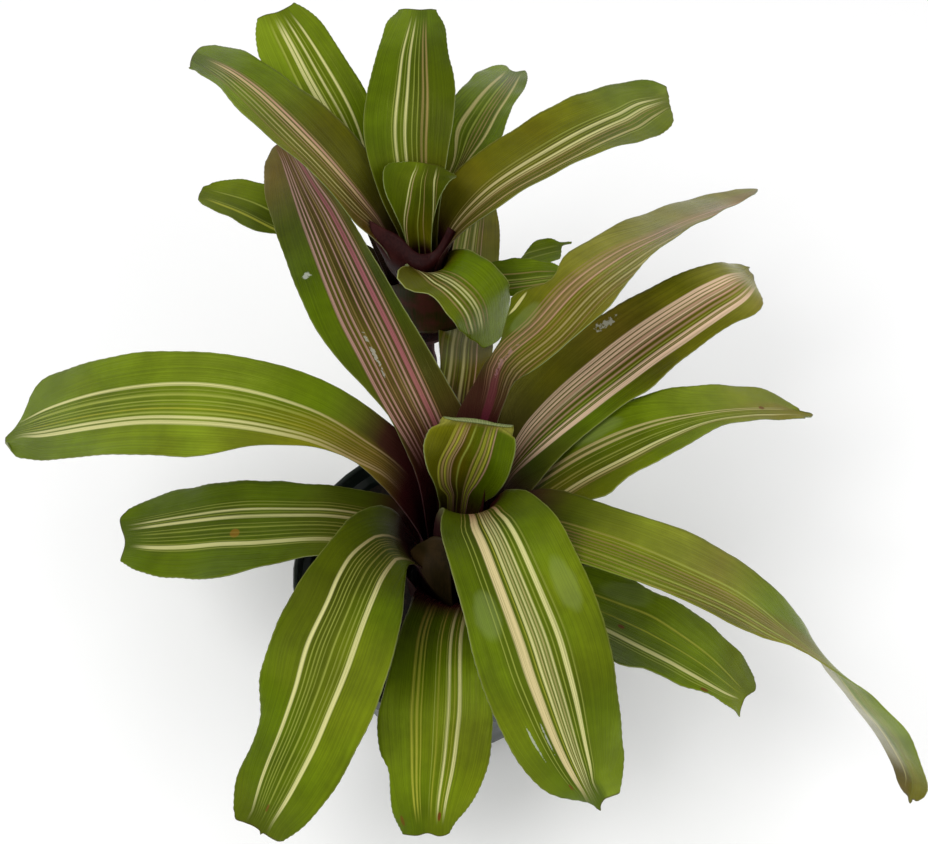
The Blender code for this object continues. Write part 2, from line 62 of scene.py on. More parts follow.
# leaf tissue with painted shade and light: greens from the shaded foot to the lit blade, then the flushed
# and the dry tones
tissueAndShadePaints = palette({
    "maroon": (44, 12, 14), "brown": (48, 40, 8), "deep": (44, 56, 0), "moss": (58, 71, 0),
    "leaf": (72, 90, 2), "fern": (86, 104, 6), "lime": (99, 117, 18), "bright": (110, 124, 30),
    "olive": (73, 73, 4), "olivine": (94, 94, 8), "bronze": (86, 75, 16), "khaki": (116, 114, 42),
    # the last, whitish tone is pale underside scales with painted sheen on them
    "dun": (118, 105, 50), "husk": (168, 166, 136),
})

markPaints = palette({
    "scar": (96, 44, 14), "rust": (150, 96, 32), "residue": (206, 208, 200), "glare": (140, 156, 96),
    "cream": (186, 180, 118), "purple": (82, 24, 42), "rosy": (160, 118, 124),
})

# what a leaf has unless its own table says otherwise; stations run from 0 at the foot to 1 at the tip
leafDefaults = {
    "low": None, "press": None, "cup": 1.0, "wrap": 1.55, "roll": (0, 0), "turn": (0.55, 0.95), "neck": 0.3,
    "tip": None, "end": 0.99, "flush": 0.3, "dark": (0.22, 0.34), "rosy": (0.3, 0.5), "blush": 0.45,
    "margin": 0.25, "band": (0.8, 0.8, 0.6, 1.0), "fade": (0.3, 0.55, 0.75, 1.0), "spots": [],
}

# The rows of a leaf, oldest leaf first:
# spine has outward, sideways and up; edges have station, left width and right width;
# tip has the place across and how far the end runs on there;
# lane has station, shift and scale of the stripe map; stripes have place and width under their paint;
# tones have station and the tissue on the left and right, or one tissue for both, with painted shade and
# light in them;
# spots have the place across, station, half width, half length, raggedness, strength and paint.
mainLeaves = {
    "main_leaf_01": {
        "heading": 177, "curl": (0.3, -0.1), "ripple": 1.2, "spread": 23.5, "neck": 0.28,
        "spine": [(25.6, 0, 104), (34, 0, 126), (60, 0, 134), (98, 0, 128), (133, 0, 119), (162, 0, 110)],
        "edges": [(0, 24, -24), (0.28, 18.5, -19.5), (0.42, 19, -19.5), (0.5, 21.4, -21.7),
            (0.55, 24.2, -23.5), (0.6, 27.6, -24), (0.65, 30, -24.3), (0.69, 30, -24.5), (0.75, 27, -25.2),
            (0.8, 24.6, -25.9), (0.86, 22.5, -26.9), (0.91, 20, -25.2), (0.95, 17.4, -22.3), (1, 12, -17)],
        "tip": [(-17, 0.5), (-13, 4), (-7.7, 2.6), (-0.5, -1), (4, -2), (10.6, -1.5)],
        "lane": [(0, 1, 0.8), (0.45, 0.6, 0.87), (0.6, 0, 1), (0.7, -0.6, 0.97), (0.8, -0.8, 0.93),
            (0.9, -1.3, 0.8), (0.97, -2, 0.66)],
        "stripes": {"pale": [(12, 0.7), (7.9, 0.5), (5.6, 0.4), (3.4, 0.5), (0.6, 0.8), (-1.4, 0.4),
            (-7.4, 0.5), (-11.6, 0.6), (-13.3, 0.4)], "cream": [(9.9, 2.6), (-5.4, 1.8), (-9.2, 1.2)]},
        "tones": [(0.35, "moss"), (0.6, "leaf"), (0.95, "leaf")],
        "fade": (0.4, 0.7, 0.65, 0.9),
        "spots": [(3.8, 0.66, 2.6, 0.014, 0.3, 0.45, "rust")],
    },
    "main_leaf_02": {
        "heading": 330, "curl": (0.25, 0), "roll": (-12, -12), "ripple": 0.9, "spread": 19, "neck": 0.28,
        "spine": [(24.4, 0, 96), (29, 0, 106), (42, 0, 114), (76, 2, 120), (101, 5, 125), (128, 6, 123),
            (153, 5, 104)],
        "edges": [(0, 24, -24), (0.28, 19, -18), (0.42, 23, -21), (0.5, 22.4, -25), (0.55, 19.2, -31.5),
            (0.59, 17.6, -36.4), (0.62, 17.3, -34.5), (0.65, 17.1, -29.6), (0.7, 16.6, -27.6),
            (0.75, 15, -25.8), (0.8, 13.1, -21.6), (0.85, 12.3, -18.3), (0.9, 12.4, -16.4), (0.95, 12, -15),
            (1, 10, -14)],
        "tip": [(-15, -4), (-12, -5.4), (-7.7, -5.8), (-3.4, -5.4), (1, -3.2), (4.5, -1.4), (7.6, -2),
            (9.4, -4)],
        "lane": [(0, 4, 0.5), (0.45, 4.3, 0.8), (0.6, 0, 1), (0.73, -3.9, 0.83), (0.82, -4.9, 0.64),
            (0.91, -3.9, 0.42), (0.97, -2.9, 0.3)],
        "stripes": {"yellow": [(4.7, 1.1), (-4.9, 0.8)], "pale": [(-13, 0.5), (-18.6, 0.5), (-20.4, 0.5)],
            "cream": [(-15.8, 2.4)]},
        "tones": [(0.35, "leaf", "fern"), (0.6, "fern", "leaf"), (0.78, "lime", "fern"),
            (0.95, "fern", "lime")],
        "band": (1, 1, 0.6, 1),
        "spots": [(-9, 0.534, 1.3, 0.012, 0.3, 0.85, "scar"), (-22, 0.82, 1.3, 0.012, 0.3, 0.8, "scar"),
            (12, 0.5, 7, 0.1, 0.3, 0.16, "glare")],
    },
    "main_leaf_03": {
        "heading": 266, "curl": (0.35, 0), "ripple": 1.4, "spread": 23, "neck": 0.28,
        "spine": [(22.2, 0, 98), (26, 0, 109), (34, -2, 118), (53, -4, 124), (80, -3, 120), (100, -2, 110),
            (117, -2, 98), (130, -1, 87)],
        "edges": [(0, 24, -24), (0.28, 16.5, -17), (0.45, 19, -20), (0.57, 24, -23.7), (0.63, 25.2, -26),
            (0.69, 24.6, -25.9), (0.75, 23.7, -24.2), (0.8, 21.7, -20.2), (0.87, 18, -18.8),
            (0.92, 14.2, -17.8), (0.96, 10, -16), (1, 6.8, -13.4)],
        "tip": [(-13, -0.8), (-7, -0.8), (-2.5, -2), (2, -0.6), (5, -0.8), (7, -1.6)],
        "lane": [(0.3, 0.5, 0.85), (0.6, 0, 1), (0.7, -0.5, 0.93), (0.8, -0.9, 0.82), (0.9, -1.2, 0.64),
            (0.97, -1.4, 0.52)],
        "stripes": {"cream": [(10.2, 1.7), (5.3, 1.3)], "yellow": [(7.9, 0.5), (0.6, 0.8), (-6.8, 0.5),
            (-8.7, 1.1), (-11, 1.2)], "pale": [(3.9, 0.4), (-1, 0.4)]},
        "tones": [(0.38, "moss"), (0.5, "fern", "leaf"), (0.62, "lime", "fern"), (0.8, "fern"),
            (0.95, "fern", "leaf")],
        "end": 0.97, "band": (0.9, 0.9, 0.6, 1),
        "spots": [(7, 0.935, 1.5, 0.018, 0.4, 0.9, "scar"), (-22, 0.95, 1.6, 0.02, 0.4, 0.6, "scar")],
    },
    "main_leaf_04": {
        "heading": 16, "curl": (0.35, 0.1), "low": (0.35, 1.7), "roll": (-8, -8), "ripple": 0.8,
        "spread": 21,
        "spine": [(22, 0, 115), (30, 0, 142), (50, 0, 160), (69, 0, 171), (92, 0, 178), (116, 0, 178),
            (141, 0, 172), (171, 0, 157)],
        "edges": [(0, 24, -24), (0.28, 18, -18.5), (0.4, 19.5, -22), (0.456, 20, -28), (0.483, 20, -31),
            (0.515, 20, -26), (0.55, 19.8, -22.2), (0.6, 19.5, -20.5), (0.65, 19.3, -18.6),
            (0.7, 19, -13.4), (0.75, 18.7, -9.3), (0.82, 18.7, -6.2), (0.88, 19, -3.4), (0.93, 18.2, -1.4),
            (0.96, 15.2, -0.6), (0.98, 11, -0.4), (1, 6, 0)],
        "tip": [(0, 0.5), (1.2, 1), (1.8, 6), (4.2, 6.5), (4.8, 1), (6, 0)],
        "lane": [(0, 0, 0.8), (0.5, 0, 1), (0.63, 0.4, 0.72), (0.72, 0.8, 0.42), (0.83, 1.6, 0.3),
            (0.95, 4.5, 0.2)],
        "stripes": {"straw": [(5.3, 1.6), (2.3, 1.8), (-13, 1.4)], "dark": [(3.6, 0.4)],
            "pale": [(-0.6, 0.4), (-4.5, 0.9), (-6.5, 0.4)], "cream": [(-11, 1.8)], "tan": [(-14.8, 0.5)]},
        "tones": [(0.35, "moss", "olive"), (0.6, "fern"), (0.78, "bright"), (0.95, "bright", "khaki")],
        "dark": (0.24, 0.36), "rosy": (0.3, 0.62),
        "spots": [(6, 0.883, 4, 0.008, 0.3, 0.8, "scar"), (12, 0.5, 6, 0.07, 0.3, 0.2, "glare")],
    },
    "main_leaf_05": {
        "heading": 236, "curl": (0.3, -0.1), "roll": (0, -5), "ripple": 1.5, "spread": 24.5, "neck": 0.33,
        "spine": [(20.6, 0, 112), (27, -2, 136), (38, -7, 149), (65, -8, 156), (105, 3, 141), (135, 4, 119),
            (153, 2, 100)],
        "edges": [(0, 10, -24), (0.2, 2, -27), (0.25, 1, -31), (0.3, 2, -33), (0.33, 5, -31.5),
            (0.36, 9.5, -30), (0.4, 15, -27), (0.45, 20.5, -25.5), (0.5, 23.3, -27.2), (0.55, 24.9, -29.4),
            (0.6, 25.5, -29.8), (0.65, 24.8, -30), (0.7, 23.4, -29.3), (0.75, 22, -26.6),
            (0.8, 21.4, -22.6), (0.85, 20.8, -21), (0.915, 18.2, -20.4), (0.95, 16.2, -18.8),
            (1, 11.8, -14)],
        "tip": [(-13.6, 2.3), (-11.5, 5.6), (-7.7, 4.8), (-3, 3.6), (0.8, 3.6), (1.6, 5), (2.4, 3.6),
            (6, 3.2), (10, 2.3), (11.8, 0.8)],
        "lane": [(0.33, -7, 0.74), (0.4, -3, 0.87), (0.45, -0.1, 0.9), (0.5, 1.15, 0.9), (0.6, 0, 1),
            (0.7, -0.8, 0.88), (0.8, 0, 0.815), (0.9, 0.4, 0.71), (0.97, 0.8, 0.51)],
        "stripes": {"cream": [(6.3, 2.3), (-14.2, 1.7)], "pale": [(4.2, 0.4), (2.2, 0.6), (0.2, 0.4),
            (-3, 0.9), (-5.8, 0.4), (-7.5, 0.5), (-9.2, 0.5), (-11.2, 0.5)]},
        "tones": [(0.38, "moss"), (0.5, "leaf", "moss"), (0.62, "fern", "leaf"), (0.8, "fern", "leaf"),
            (0.95, "leaf")],
        "end": 1,
        "spots": [(-3, 0.95, 1, 0.01, 0.3, 0.7, "scar")],
    },
    "main_leaf_06": {
        "heading": 38, "curl": (0.4, 0), "ripple": 1, "spread": 24, "neck": 0.33,
        "spine": [(19.2, 0, 112), (21, 0, 130), (27, 0, 148), (39, 0, 159), (61, 0, 170), (86, 0, 178),
            (116, 0, 184), (148, 0, 186), (171, 0, 185), (188, 0, 175)],
        "edges": [(0, 24, -24), (0.33, 20.5, -16), (0.36, 24, -15), (0.4, 28.5, -14.5), (0.43, 30, -14.7),
            (0.46, 29.2, -15), (0.5, 28, -15.8), (0.56, 27.6, -18), (0.6, 27, -20), (0.65, 26.2, -18.6),
            (0.7, 25.5, -16.8), (0.78, 23.6, -15.9), (0.84, 21.4, -16.3), (0.88, 19.8, -18.8),
            (0.91, 18.2, -17.4), (0.935, 17.6, -13), (0.957, 18.2, -7.6), (0.98, 18.8, -1.8), (1, 19, 3)],
        "tip": [(3, 0), (7, 4.5), (10, 5), (12.5, 7.5), (13.4, 10), (14.4, 7.5), (17, 6), (19, 1)],
        "lane": [(0.3, 0.5, 0.35), (0.4, 1.6, 0.77), (0.6, 0, 1), (0.83, -0.8, 0.95), (0.9, -1.2, 0.85),
            (0.96, 2, 0.6), (1, 6, 0.5)],
        "stripes": {"shell": [(10.9, 1.9), (8.8, 1.7), (6.9, 1.6), (3.7, 1), (-5.5, 1.3), (-8.6, 2.8)],
            "pink": [(5.1, 1.4), (1.3, 1.3), (-1.6, 0.9)], "dark": [(2.5, 0.5), (-0.2, 0.5)],
            "pale": [(-3.6, 0.6)], "tan": [(-6.7, 0.7)]},
        "tones": [(0.36, "brown", "deep"), (0.5, "olive", "leaf"), (0.65, "bronze", "olive"),
            (0.82, "olivine"), (0.95, "khaki")],
        "flush": 0.6, "dark": (0.26, 0.36), "rosy": (0.28, 0.4), "blush": 0.6, "band": (0.96, 0.9, 0.7, 1),
        "spots": [(21.6, 0.64, 1.8, 0.026, 1.6, 0.4, "residue")],
    },
    "main_leaf_07": {
        "heading": 330, "curl": (0.25, 0.4), "roll": (-22, -72), "turn": (0.57, 0.76), "ripple": 0.8,
        "spread": 23, "neck": 0.28,
        "spine": [(17.4, 0, 115), (20.5, 1, 140), (27, 2, 156), (42, 5, 171), (70, 4, 182.5), (92, 5, 185),
            (116, 6, 184.5), (133, 8, 180), (157, 10, 168), (172, 14, 152), (194, 18, 122), (212, 22, 98),
            (229, 23, 72), (234, 20, 58)],
        "edges": [(0, 24, -24), (0.28, 15, -18), (0.34, 14.6, -21), (0.4, 15.6, -22.6), (0.45, 17, -22.9),
            (0.49, 16.8, -25.5), (0.52, 16, -27), (0.55, 14.8, -23), (0.58, 14.4, -17.2), (0.6, 14.2, -13),
            (0.64, 13.3, -10.3), (0.71, 13.6, -11.2), (0.76, 14, -13.4), (0.81, 14.3, -15.6),
            (0.87, 13.6, -13), (0.93, 11.2, -10.7), (0.97, 9.8, -8.7), (0.99, 7.3, -6.3), (1, 4.3, -3.8)],
        "tip": [(-3.8, 0), (-1.4, 1), (-0.6, 4), (0.4, 4.5), (1.2, 1), (4.3, 0)],
        "lane": [(0.3, 0, 0.8), (0.45, 0, 1), (0.55, -0.6, 0.85), (0.6, -3.3, 0.5), (0.65, -6, 0.2),
            (0.72, -4, 0.2), (0.8, -3.2, 0.25), (1, 0, 0.2)],
        "stripes": {"pale": [(-1.5, 1.2), (-4, 0.6), (-14.7, 1.2), (-19.8, 1.1)], "tan": [(-6.1, 0.9),
            (-8.3, 0.8), (-10.4, 0.6), (-12.1, 0.6), (-16.9, 0.6), (-22.4, 0.5)]},
        # the whitish tone on this tail is partly pale underside scales and partly painted sheen
        "tones": [(0.3, "moss"), (0.4, "bright", "fern"), (0.5, "khaki", "olivine"),
            (0.57, "lime", "olivine"), (0.64, "lime", "khaki"), (0.7, "husk", "lime"),
            (0.88, "husk", "lime"), (0.96, "bronze", "olivine")],
        "end": 1, "dark": (0.22, 0.32), "band": (1.06, 1.04, 0.5, 1),
        "spots": [(16, 0.82, 3, 0.17, 0.1, 0.85, "cream")],
    },
    "main_leaf_08": {
        "heading": 168, "curl": (0.3, 0.1), "roll": (-18, -20), "ripple": 1.3, "spread": 25, "neck": 0.33,
        "spine": [(16, 0, 115), (19, 0, 143), (29, 0, 165), (43, 0, 179), (70, 0, 196), (115, 0, 200),
            (166, 0, 180), (222, 0, 142)],
        "edges": [(0, 24, -24), (0.3, 6, -21), (0.345, 3.2, -22), (0.4, 5.6, -22.6), (0.45, 10, -23),
            (0.5, 14.8, -23.4), (0.55, 22, -23.5), (0.575, 24.8, -23.5), (0.6, 26.4, -23.6),
            (0.65, 25.8, -23.9), (0.7, 24.5, -24.2), (0.8, 20.9, -24.6), (0.87, 18.4, -25.6),
            (0.9, 17, -25.6), (0.925, 15.4, -24), (0.944, 14, -20.6), (0.957, 13.2, -16.4),
            (0.967, 12.2, -11), (0.98, 9.6, -6.5), (0.99, 6.5, -3.6), (1, 3, -1.6)],
        "lane": [(0.3, -3.5, 0.5), (0.4, -2.5, 0.69), (0.5, -1.3, 0.87), (0.6, 0, 1), (0.7, -0.4, 0.95),
            (0.8, -0.9, 0.885), (0.9, -1.9, 0.71), (0.96, -2.4, 0.42)],
        "stripes": {"cream": [(9.5, 2.1), (6.9, 1.4), (-8.8, 1.5)], "pale": [(4.6, 1), (0.6, 0.6),
            (-1.1, 0.6), (-4, 1.4), (-6.2, 0.5)], "yellow": [(2.6, 0.8)]},
        "tones": [(0.32, "bronze", "maroon"), (0.42, "olivine", "leaf"), (0.6, "lime"), (0.8, "fern"),
            (0.95, "fern")],
        "dark": (0.24, 0.34), "rosy": (0.34, 0.5), "blush": 0.6, "fade": (0.4, 0.66, 0.6, 1),
    },
    "main_leaf_09": {
        "heading": 84.5, "curl": (0.5, 0.2), "press": (0.5, 0.5, 0.6), "ripple": 0.5, "spread": 15,
        "neck": 0.42,
        "spine": [(14.7, 0, 125), (18.2, 0, 150), (26, 2, 167), (42, 2, 174), (66, 2, 171), (86, 3, 163),
            (104, 3, 157), (143, 4, 153), (190, 4, 146), (200, 4, 144.5)],
        "edges": [(0, 20, -20), (0.42, 12, -11), (0.55, 14.5, -12.5), (0.6, 16, -11.6), (0.75, 16.5, -11.4),
            (0.83, 17, -10.8), (0.9, 16, -9.8), (0.95, 14, -8.4), (1, 10, -6)],
        "lane": [(0, 0, 1), (0.6, 0, 1), (0.75, 1.5, 0.85), (0.85, 2.5, 0.75), (1, 3, 0.6)],
        "stripes": {"tan": [(15.5, 0.8), (12.8, 1), (5.3, 0.7), (-2, 0.8)], "pale": [(10, 0.5),
            (-0.4, 0.5)], "straw": [(7.5, 1.4), (1.5, 1.3)], "dark": [(3.6, 0.4)], "pink": [(-4.5, 0.5)]},
        "tones": [(0.38, "maroon"), (0.48, "olivine", "bronze"), (0.7, "khaki", "olivine"),
            (0.9, "fern", "olivine")],
        "end": 1, "flush": 0.5, "dark": (0.3, 0.46), "blush": 0.3,
    },
    "main_leaf_10": {
        "heading": 118, "curl": (0.5, 0.3), "low": (1, 1.2), "roll": (-22, -22), "ripple": 0.7,
        "spread": 23, "neck": 0.355,
        "spine": [(13.4, 0, 125), (17.6, -1, 162), (26, 0, 178), (39, 1, 187), (58, 1, 193), (107, -2, 199),
            (165, -8, 196), (205, -14, 189), (225, -17, 185.5)],
        "edges": [(0, 24, -24), (0.355, 13, -19), (0.42, 16.8, -19), (0.466, 21, -18.5),
            (0.515, 24.2, -17.6), (0.56, 25.8, -16.8), (0.61, 25.9, -15.8), (0.66, 25.4, -15),
            (0.75, 23.6, -13.5), (0.8, 22.2, -13), (0.857, 21.2, -12.3), (0.892, 19.8, -11.8),
            (0.932, 18, -10.5), (0.965, 16, -8.5), (0.986, 13.6, -6), (1, 10, -2)],
        "lane": [(0.28, 0.8, 0.75), (0.37, 0.6, 0.9), (0.47, 0, 1), (0.56, 0, 1.03), (0.75, -1, 0.84),
            (0.84, -0.3, 0.63), (0.95, 0.4, 0.41)],
        "stripes": {"mauve": [(12.6, 1.8), (10.1, 1.2), (7.9, 1.4), (2.7, 1), (-0.9, 0.7), (-3, 1.1),
            (-8.8, 1.3)], "dark": [(11.2, 0.4), (9, 0.4), (6.6, 0.5), (4.3, 0.5), (1.4, 0.4), (-4.1, 0.4),
            (-7.7, 0.4)], "tan": [(5.6, 0.8), (0.4, 0.6), (-10.6, 0.5)], "rose": [(-5.9, 2.8)]},
        "tones": [(0.35, "brown"), (0.5, "leaf", "deep"), (0.6, "leaf", "deep"), (0.78, "moss", "olive"),
            (0.93, "bronze")],
        "end": 1, "dark": (0.26, 0.37), "rosy": (0.33, 0.8), "blush": 0.35, "band": (0.9, 0.62, 0.8, 1),
        "fade": (0.3, 0.5, 0.85, 0.94),
        "spots": [(6, 0.47, 0.7, 0.04, 1.6, 0.3, "residue"), (20, 0.655, 2.4, 0.007, 0.7, 0.5, "residue")],
    },
    "main_leaf_11": {
        "heading": 292, "curl": (0.35, 0), "ripple": 0.9, "spread": 28, "neck": 0.38,
        "spine": [(11.8, 0, 120), (14, 2, 153), (21, 4, 177), (34, 3, 188), (52, 3, 189.5), (84, 4, 174),
            (111, 2, 150), (130, 5, 128), (140, 9, 113)],
        "edges": [(0, 22, -22), (0.38, 16, -18), (0.42, 21, -21), (0.45, 23, -23.3), (0.5, 25.2, -25.8),
            (0.55, 26.2, -27.7), (0.6, 26.8, -29.2), (0.65, 26.9, -30.7), (0.7, 26.8, -30.4),
            (0.75, 26.6, -28.2), (0.8, 26, -25.3), (0.84, 25, -23), (0.878, 23.3, -20.2),
            (0.909, 21.4, -17.2), (0.928, 20.4, -14.2), (0.946, 18.6, -10), (0.965, 16.4, -5.4),
            (0.984, 13.6, -1.8), (1, 10.8, -0.5)],
        "tip": [(-0.5, 0), (0.4, 1.5), (1.4, -1), (3.9, -3), (6.9, -2.5), (10.6, -1.5)],
        "lane": [(0.35, 1, 0.6), (0.42, 0.1, 0.71), (0.45, 0.3, 0.86), (0.6, 0, 1), (0.7, 0.9, 1.04),
            (0.8, 2.77, 0.876), (0.9, 1.7, 0.57), (0.95, 0.9, 0.34)],
        "stripes": {"pale": [(9.2, 0.6), (3.3, 0.5), (-14.8, 0.5), (-17, 0.4)], "cream": [(6.2, 2.3),
            (1, 0.9), (-1.9, 0.9), (-4.8, 1.1)], "straw": [(-0.5, 0.7), (-3.3, 0.7)],
            "yellow": [(-6.3, 0.5)], "buff": [(-9.8, 4)]},
        "tones": [(0.38, "deep"), (0.47, "leaf", "moss"), (0.6, "fern", "leaf"), (0.78, "leaf", "fern"),
            (0.95, "lime", "leaf")],
        "dark": (0.32, 0.4), "rosy": (0.38, 0.47), "blush": 0.8, "band": (0.7, 0.72, 0.5, 1),
        "spots": [(-19, 0.6, 7, 0.05, 0.3, 0.2, "glare"), (17, 0.59, 6, 0.055, 0.3, 0.18, "glare"),
            (-20.5, 0.83, 0.6, 0.035, 0.7, 0.4, "residue"), (-13.5, 0.83, 0.5, 0.03, 0.7, 0.35, "residue"),
            (-17, 0.93, 1.2, 0.008, 0.3, 0.8, "scar")],
    },
    "main_leaf_12": {
        "heading": 50, "curl": (0.5, 0.3), "roll": (-18, -25), "ripple": 0.6, "spread": 24.5, "neck": 0.42,
        "spine": [(10.6, 0, 130), (14.2, 1, 164), (22, 3, 184), (32, 5, 200), (42, 7, 213), (62, 1, 222),
            (89, 0, 226), (118, -1, 222), (147, -4, 214), (190, -6, 196), (245, -9, 168)],
        "edges": [(0, 22, -20), (0.3, 14, -6), (0.34, 11.5, -6.5), (0.37, 9, -9.5), (0.385, 8, -12),
            (0.4, 10, -14), (0.412, 14.5, -15), (0.427, 18.5, -15.7), (0.45, 23, -16.2),
            (0.48, 21.8, -19.6), (0.5, 17.8, -22.6), (0.52, 16.6, -21), (0.54, 19.4, -18.4),
            (0.56, 21.2, -15.8), (0.6, 20.6, -11.4), (0.635, 21.1, -8.8), (0.68, 22.1, -5.6),
            (0.73, 22.8, -2.6), (0.8, 24.4, 0.3), (0.845, 25.6, 3), (0.89, 24.8, 5.8), (0.94, 23.8, 8),
            (1, 22, 10.4)],
        "tip": [(10.4, 1), (13, 8), (16, 16), (19, 12), (22, 2)],
        "lane": [(0.3, 0, 0.4), (0.4, -1, 0.79), (0.5, 0, 1), (0.6, -0.4, 0.95), (0.7, 0.6, 0.7),
            (0.85, 2, 0.6), (1, 6, 0.5)],
        "stripes": {"tan": [(11.6, 0.5), (9.8, 0.9), (4.6, 1), (-1.8, 0.9), (-13.6, 0.8)],
            "dark": [(8.4, 0.4), (5.8, 0.4), (3.4, 0.4)], "pink": [(7.2, 1.1), (2.3, 1.1)],
            "pale": [(0.4, 0.5), (-3.6, 0.4), (-8.2, 0.5), (-16.3, 0.5)], "straw": [(-6, 1.2), (-10.6, 1)]},
        "tones": [(0.34, "maroon", "brown"), (0.42, "moss", "olive"), (0.5, "olivine"), (0.62, "khaki"),
            (0.95, "khaki", "dun")],
        "end": 1, "dark": (0.3, 0.42), "rosy": (0.36, 0.6), "blush": 0.4, "band": (0.92, 0.86, 0.7, 1),
        "fade": (0.3, 0.6, 0.7, 0.95),
        "spots": [(3, 0.32, 4.5, 0.06, 0.3, 0.6, "purple"), (4, 0.385, 1.4, 0.02, 1.2, 0.3, "rosy"),
            (13, 0.44, 4.5, 0.035, 0.3, 0.16, "glare"), (20.8, 0.45, 0.9, 0.028, 0.1, 0.8, "cream")],
    },
    "main_leaf_13": {
        "heading": 82, "curl": (0.5, 0.3), "cup": 0.6, "wrap": 2.1, "ripple": 0.5, "spread": 26,
        "neck": 0.55,
        "spine": [(8.2, 0, 125), (8, -2, 152), (9, -4, 168), (12, -5, 181), (16.2, -5, 190),
            (18.4, -5, 195), (18, -5, 197.6), (16, -5, 198)],
        "edges": [(0, 16, -16), (0.5, 11, -9), (0.62, 14, -12), (0.72, 18.5, -18), (0.8, 23, -22),
            (0.87, 24, -23), (0.92, 21.5, -22), (0.96, 18, -20), (1, 12, -17)],
        "lane": [(0, 0, 0.4), (0.56, 2, 0.42), (0.68, 3.4, 0.82), (0.78, 2.6, 1), (0.88, -1, 0.85),
            (1, -4.5, 0.7)],
        "stripes": {"yellow": [(12.6, 1.8), (8.8, 1.4), (-5.6, 1.2), (-8.9, 1.2)], "tan": [(10.6, 1.6),
            (7.1, 1.3), (-3.8, 0.9), (-7.3, 1)], "pink": [(5.7, 0.8), (-10.6, 0.7)], "dark": [(4.6, 0.4)],
            "pale": [(1.8, 0.9)]},
        "tones": [(0.5, "brown"), (0.68, "olive", "moss"), (0.85, "olive", "leaf"),
            (0.94, "olivine", "leaf"), (0.96, "khaki")],
        "end": 1, "dark": (0.3, 0.6), "rosy": (0.8, 0.95), "blush": 0, "band": (1, 0.84, 0.9, 1),
    },
}

